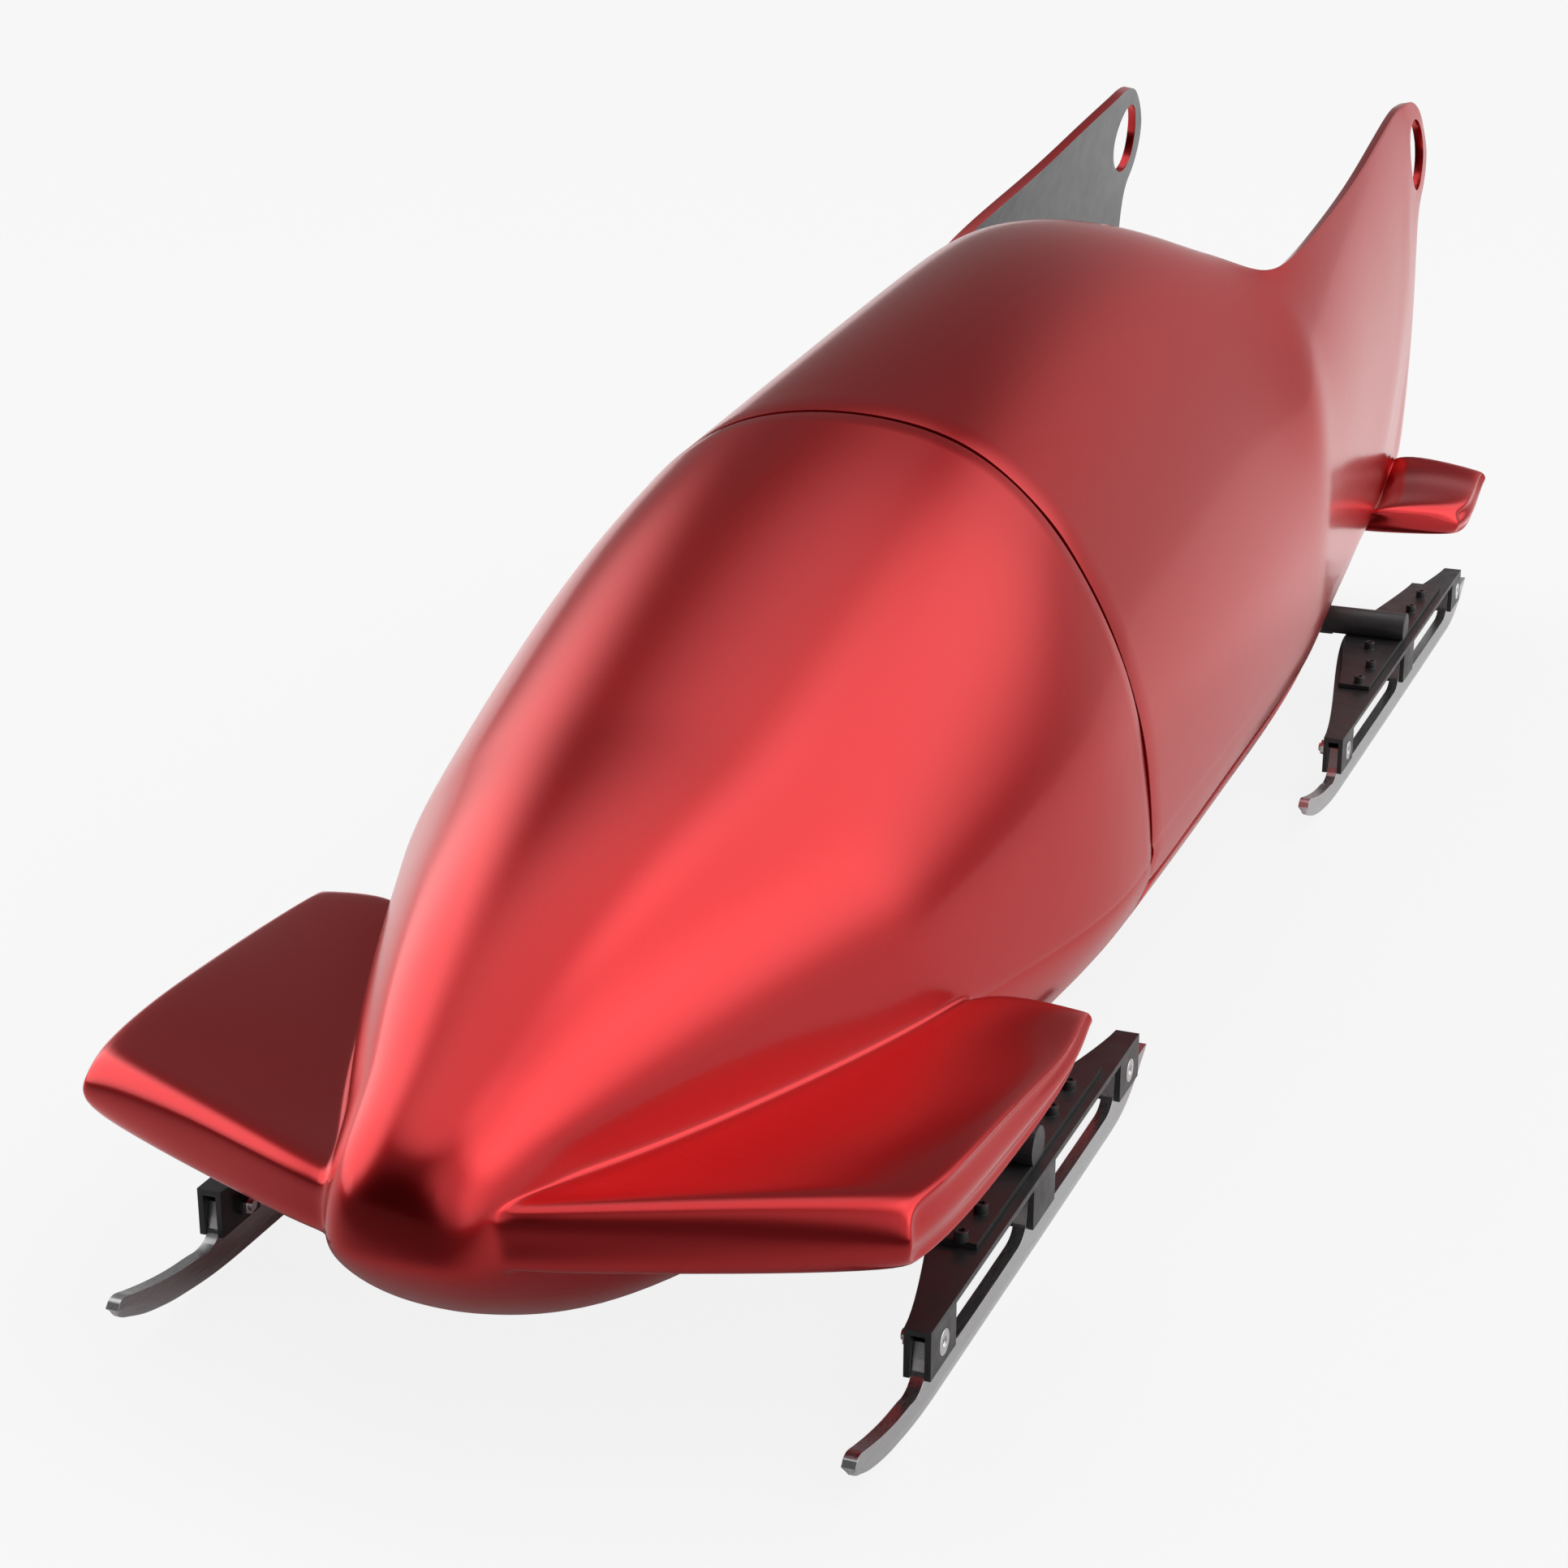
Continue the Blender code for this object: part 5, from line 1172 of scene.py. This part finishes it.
def height_on(line, y):
    """Height at y of a smooth curve through the points (y, z) of the line."""
    last = len(line) - 1
    if y <= line[0][0]:
        return line[0][1]
    for i in range(last):
        (y0, z0), (y1, z1) = line[i], line[i + 1]
        if y <= y1:
            t = (y - y0) / (y1 - y0)
            slopes = []
            for k in (i, i + 1):
                (ya, za), (yb, zb) = line[max(k - 1, 0)], line[min(k + 1, last)]
                slopes.append((zb - za) / (yb - ya) * (y1 - y0))
            blend = t * t * (3 - 2 * t)
            curve = t * (1 - t) * (slopes[0] * (1 - t) - slopes[1] * t)
            return z0 + (z1 - z0) * blend + curve
    return line[-1][1]


def make_blade(corner, side, ends, axle_y):
    """A steel blade with a tapered sole, an upswept toe and three posts that rise into the carrier."""
    toe, heel = RUNNER_ENDS[ends]
    post_top = CARRIER_TOP - CARRIER_WEB - POST_CLEAR
    top = [(toe + along, z) for along, z in TOE_TOP]
    spans = leg_spans(ends, axle_y)
    for number, (start, end) in enumerate(spans):
        start += POST_SETBACK if number == 0 else 0.0
        top += [(start - along, BLADE_TOP + rise) for along, rise in POST_FILLET]
        top += [(start + POST_SLOPE, post_top), (end - POST_SLOPE, post_top)]
        if number < len(spans) - 1:
            top += [(end + along, BLADE_TOP + rise) for along, rise in reversed(POST_FILLET)]
    top += [(spans[-1][1] + along, RUNNER_TOP + rise) for along, rise in TAIL_FILLET] + [(heel, RUNNER_TOP)]
    sole = [(toe + along, z) for along, z in TOE_SOLE] + [(heel - along, z) for along, z in HEEL_SOLE]
    steps = round((heel - toe) / BLADE_STEP)
    stations = {toe + (heel - toe) * step / steps for step in range(steps + 1)}
    stations |= {y for y, _ in top if toe < y < heel} | {y for y, _ in sole if toe < y < heel}
    bm = bmesh.new()
    rings = []
    half = RUNNER_WIDTH / 2
    for y in sorted(stations):
        low = height_on(sole, y)
        high = max(height_on(top, y), low + BLADE_THINNEST)
        shoulder = low + min(BLADE_TAPER, (high - low) / 2)
        section = [(half, high), (half, shoulder), (SOLE_WIDTH / 2, low)]
        section += [(-x, z) for x, z in reversed(section)]
        rings.append([bm.verts.new((side * (CENTRE + x), y, z)) for x, z in section])
    for ring, following in zip(rings, rings[1:]):
        for i in range(len(ring)):
            j = (i + 1) % len(ring)
            bm.faces.new([ring[i], ring[j], following[j], following[i]])
    bm.faces.new(rings[0])
    bm.faces.new(rings[-1][::-1])
    blade = place(f"{corner}_blade", bm, STEEL)
    bores = []
    for number, y in enumerate(END_BOLTS[ends]):
        bore = across(side, CARRIER_INNER - PAST, CARRIER_OUTER + PAST, y)
        bores.append(rod(f"{corner}_blade_bore_{number}", *bore, END_BOLT_RADIUS + GAP, STEEL, sides=32))
    combine(blade, bores, "DIFFERENCE")
    finished(blade, f"{corner}_blade", sharp=11.0)
    soften(blade, 0.0005, limit=50.0)
    return blade, f"{corner}_runner", "runner_steel"


def make_fasteners(corner, side, ends):
    """Each end bolt has a dished round head with a hexagon socket; its nut sits on the sleeve inside."""
    made = []
    outer = CARRIER_OUTER
    tip = BOSS_END - NUT_LENGTH - BOLT_PROUD
    for end, y in zip(("front", "rear"), END_BOLTS[ends]):
        name = f"{corner}_{end}"

        def turned(part, first, last, radius, mat=CHROME, sides=48):
            return rod(f"{name}_{part}", *across(side, first, last, y), radius, mat, sides)

        bolt = turned("screw", tip, outer - HEAD_DEPTH + 0.0001, END_BOLT_RADIUS)
        combine(bolt, [turned("screw_head", outer - HEAD_DEPTH, outer + HEAD_PROUD, END_BOLT_HEAD)], "UNION")
        dish = turned("dish", outer - DISH_DEPTH, outer + PAST, DISH_RADIUS)
        socket = turned("socket", outer - SOCKET_DEPTH, outer + PAST, SOCKET_RADIUS, DARK_STEEL, 6)
        combine(bolt, [dish, socket], "DIFFERENCE")
        soften(bolt, 0.0004)
        nut = turned("hex_nut", BOSS_END - GAP - NUT_LENGTH, BOSS_END - GAP, NUT_RADIUS, sides=6)
        combine(nut, [turned("nut_bore", tip, CENTRE, END_BOLT_RADIUS + GAP)], "DIFFERENCE")
        soften(nut, 0.0007)
        made += [(bolt, f"{name}_bolt", "bright_bolt"), (nut, f"{name}_nut", "bright_bolt")]
    return made


# Saddle plates: screws, as distance inside the runner's centre line and distance behind the axle, then how
# far the rear and the front plates reach along the sled, and their outer edge and narrow inner edge
SADDLE_SCREWS = [(0.0130, -0.211), (0.0125, -0.142), (0.0310, -0.061), (0.0125, 0.126), (0.0130, 0.200)]
REAR_REACH = 0.2435
FRONT_REACH = 0.190
REACH_BACK = 0.0225
SADDLE_EDGES = (CENTRE + 0.0025, CENTRE - 0.038)
CAP_SOCKET = 0.0036
CAP_SOCKET_DEPTH = 0.004
CAP_ROOT = 0.001


def make_saddle(corner, side, ends, axle_y):
    """The plate bolted on a carrier, on which the round axle end lies, and its cap screws."""
    reach = REAR_REACH if ends == REAR_CARRIER else FRONT_REACH
    plate_ends = (axle_y - reach + REACH_BACK, axle_y + reach + REACH_BACK)
    bottom = CARRIER_TOP + GAP
    top = bottom + SADDLE_PLATE
    cap = top + SADDLE_HEAD
    outline = inner_edge(plate_ends, axle_y, *SADDLE_EDGES, CENTRE - CARRIER_WIDEST + SADDLE_BACK)
    plate = slab(f"{corner}_axle_plate", side, outline, (bottom, top), BLACK)
    heads = []
    for number, (inward, along) in enumerate(SADDLE_SCREWS):
        x, y = side * (CENTRE - inward), axle_y + along * reach / REAR_REACH
        name = f"{corner}_cap_{number}"
        screw = rod(name, (x, y, top - CAP_ROOT), (x, y, cap), SADDLE_HEAD_RADIUS, BLACK)
        hole = ((x, y, cap - CAP_SOCKET_DEPTH), (x, y, cap + PAST))
        combine(screw, [rod(f"{name}_socket", *hole, CAP_SOCKET, BLACK, sides=6)], "DIFFERENCE")
        heads.append(screw)
    combine(plate, heads, "UNION")
    soften(plate, 0.0006)
    return plate, f"{corner}_saddle", "black_paint"


def make_running_gear():
    for end, ends, axle_y in (("front", FRONT_CARRIER, FRONT_AXLE_Y), ("rear", REAR_CARRIER, REAR_AXLE_Y)):
        for hand, side in (("left", 1), ("right", -1)):
            corner = f"{end}_{hand}"
            made = [make(corner, side, ends, axle_y) for make in (make_carrier, make_blade, make_saddle)]
            for piece, node, slot in made + make_fasteners(corner, side, ends):
                piece.data.shade_smooth()
                if not piece.name.endswith("_blade"):
                    piece.data.set_sharp_from_angle(angle=math.radians(35))
                stand_for(piece, f"{corner}_runner_set", node)


# The flat on the underside of an axle end: x from the runner's middle, half its length along the sled, and z
FLAT_X = (-CARRIER_WIDEST - 0.004, 0.05)
FLAT_HALF = 0.03
FLAT_BOTTOM = 0.06
WELD = 0.00001


def make_axles():
    """The rear axle tube with its flats, and both knuckles, in the running gear's black."""
    end = CENTRE + AXLE_END
    ends = ((-end, REAR_AXLE_Y, AXLE_Z), (end, REAR_AXLE_Y, AXLE_Z))
    axle = rod("rear_axle_tube", *ends, AXLE_RADIUS, BLACK, sides=72)
    flats = []
    for side in (1, -1):
        low, high = mirror_x(
            side,
            (CENTRE + FLAT_X[0], REAR_AXLE_Y - FLAT_HALF, FLAT_BOTTOM),
            (CENTRE + FLAT_X[1], REAR_AXLE_Y + FLAT_HALF, CARRIER_TOP + GAP + SADDLE_PLATE + SEAT_GAP),
        )
        flats.append(block(f"axle_flat_{side}", low, high, BLACK))
    combine(axle, flats, "DIFFERENCE")
    finished(soften(axle, 0.0008), "rear_axle_tube")
    stand_for(axle, "rear_section", "rear_axle")
    for hand in ("left", "right"):
        node = NODES[f"knuckle_{hand}"]
        mesh = node.data.copy()
        mesh.transform(node.matrix_world)
        mesh.materials.clear()
        mesh.materials.append(BLACK)
        cast = bpy.data.objects.new(f"steering_knuckle_{hand}", mesh)
        bpy.context.scene.collection.objects.link(cast)
        cast.modifiers.new("joined", "WELD").merge_threshold = WELD
        soften(cast, 0.0010)
        stand_for(cast, f"knuckle_{hand}", f"knuckle_{hand}")


FINISHES = {
    "runner_steel": DARK_STEEL,
    "bright_bolt": CHROME,
    "frame_alloy": ALLOY,
    "bush_bronze": BRONZE,
    "grey_laminate": LAMINATE,
    "black_foam": COVER,
    "grip_rubber": RUBBER,
    "black_paint": BLACK,
    "red_paint": PAINT,
}


def dress_frame():
    """Every CAD node that stays in sight gets its finish and rounded edges."""
    slots = {row["node"]: row["material_slot"] for row in frame["record"]["subparts"]}
    for name, obj in NODES.items():
        mat = STEEL if name.endswith("_runner") else FINISHES[slots[name]]
        obj.data.materials.clear()
        obj.data.materials.append(mat)
        obj.modifiers.new("joined", "WELD").merge_threshold = WELD
        if not name.startswith("d_ring"):
            soften(obj, 0.0007)


# World as the camera sees it, and the least that it gives off anywhere
WORLD_SEEN = 0.93
STUDIO_LEAST = 0.02

# Soft areas of the studio: degrees round from the nose toward the sled's left, degrees up,
# degrees from the middle where the area is full and where it ends, strength
STUDIO_BASE = 0.22
STUDIO = [
    ((-99, 17), 24.0, 40.0, 2.15),
    ((118, 44), 13.0, 40.0, 1.85),
    ((88, 5), 18.0, 46.0, 0.80),
    ((-140, 80), 14.0, 38.0, 1.25),
    ((58, 34), 2.0, 46.0, 0.75),
    ((-20, 10), 15.0, 50.0, -0.20),
    ((165, 0), 15.0, 40.0, 0.45),
]

LAMPS = [
    ("key", (-1.6, 0.6, 3.6), (2.6, 2.6), 30.0),
    ("front_fill", (2.4, -3.0, 2.6), (2.5, 2.5), 10.0),
]


FLOOR_SIZE = 60
FLOOR_Z = -0.0005
AIM = Vector((0, 0, 0.3))


def studio_level(tree):
    """How bright the studio is in each direction."""
    direction = add_node(tree, "TexCoord").outputs["Generated"]
    level = None
    for (azimuth, elevation), inner, outer, strength in STUDIO:
        dot = add_node(tree, "VectorMath")
        dot.operation = "DOT_PRODUCT"
        dot.inputs[1].default_value = toward(math.radians(azimuth), math.radians(elevation))
        tree.links.new(direction, dot.inputs[0])
        cosines = (math.cos(math.radians(angle)) for angle in (outer, inner))
        soft = add_node(tree, "MapRange", **dict(zip(("From_Min", "From_Max"), cosines)), To_Max=strength)
        soft.interpolation_type = "SMOOTHSTEP"
        tree.links.new(dot.outputs["Value"], soft.inputs["Value"])
        total = add_node(tree, "Math")
        total.operation = "ADD"
        total.inputs[1].default_value = STUDIO_BASE
        tree.links.new(soft.outputs["Result"], total.inputs[0])
        if level:
            tree.links.new(level, total.inputs[1])
        level = total.outputs[0]
    least = add_node(tree, "Math")
    least.operation = "MAXIMUM"
    least.inputs[1].default_value = STUDIO_LEAST
    tree.links.new(level, least.inputs[0])
    return least.outputs[0]


def add_floor_and_light():
    white = studio_white("studio_floor")
    bm = bmesh.new()
    bmesh.ops.create_grid(bm, x_segments=1, y_segments=1, size=FLOOR_SIZE)
    floor = place("studio_floor", bm, white)
    floor.location.z = FLOOR_Z
    world = bpy.context.scene.world or bpy.data.worlds.new("studio")
    bpy.context.scene.world = world
    world.use_nodes = True
    tree = world.node_tree
    tree.nodes.clear()
    seen = add_node(tree, "Background", Color=(WORLD_SEEN, WORLD_SEEN, WORLD_SEEN, 1), Strength=1.0)
    studio = add_node(tree, "Background", Strength=1.0)
    mix = add_node(tree, "MixShader")
    rays = add_node(tree, "LightPath")
    tree.links.new(rays.outputs["Is Camera Ray"], mix.inputs[0])
    tree.links.new(studio.outputs[0], mix.inputs[1])
    tree.links.new(seen.outputs[0], mix.inputs[2])
    tree.links.new(mix.outputs[0], add_node(tree, "OutputWorld").inputs[0])
    tree.links.new(studio_level(tree), studio.inputs["Color"])
    for name, place_at, size, power in LAMPS:
        data = bpy.data.lights.new(name, "AREA")
        data.shape = "RECTANGLE"
        data.size, data.size_y = size
        data.energy = power
        lamp = bpy.data.objects.new(name, data)
        lamp.location = place_at
        lamp.visible_glossy = False
        lamp.rotation_euler = (AIM - Vector(place_at)).to_track_quat("-Z", "Y").to_euler()
        bpy.context.scene.collection.objects.link(lamp)


# Camera, solved from the photograph
CAMERA_PLACE = (1.08131, -3.31339, 1.41511)
CAMERA_AZIMUTH = math.radians(21.5978)
CAMERA_ELEVATION = math.radians(20.3360)
CAMERA_LENS = 73.445
CAMERA_SENSOR = 36.0


def add_camera():
    data = bpy.data.cameras.new("camera")
    data.lens = CAMERA_LENS
    data.sensor_width = CAMERA_SENSOR
    camera = bpy.data.objects.new("camera", data)
    camera.location = CAMERA_PLACE
    camera.rotation_mode = "QUATERNION"
    camera.rotation_quaternion = (-toward(CAMERA_AZIMUTH, CAMERA_ELEVATION)).to_track_quat("-Z", "Y")
    bpy.context.scene.collection.objects.link(camera)
    bpy.context.scene.camera = camera


add_camera()
make_shells()
make_running_gear()
make_axles()
dress_frame()
add_floor_and_light()
bpy.context.scene.view_settings.view_transform = "Standard"
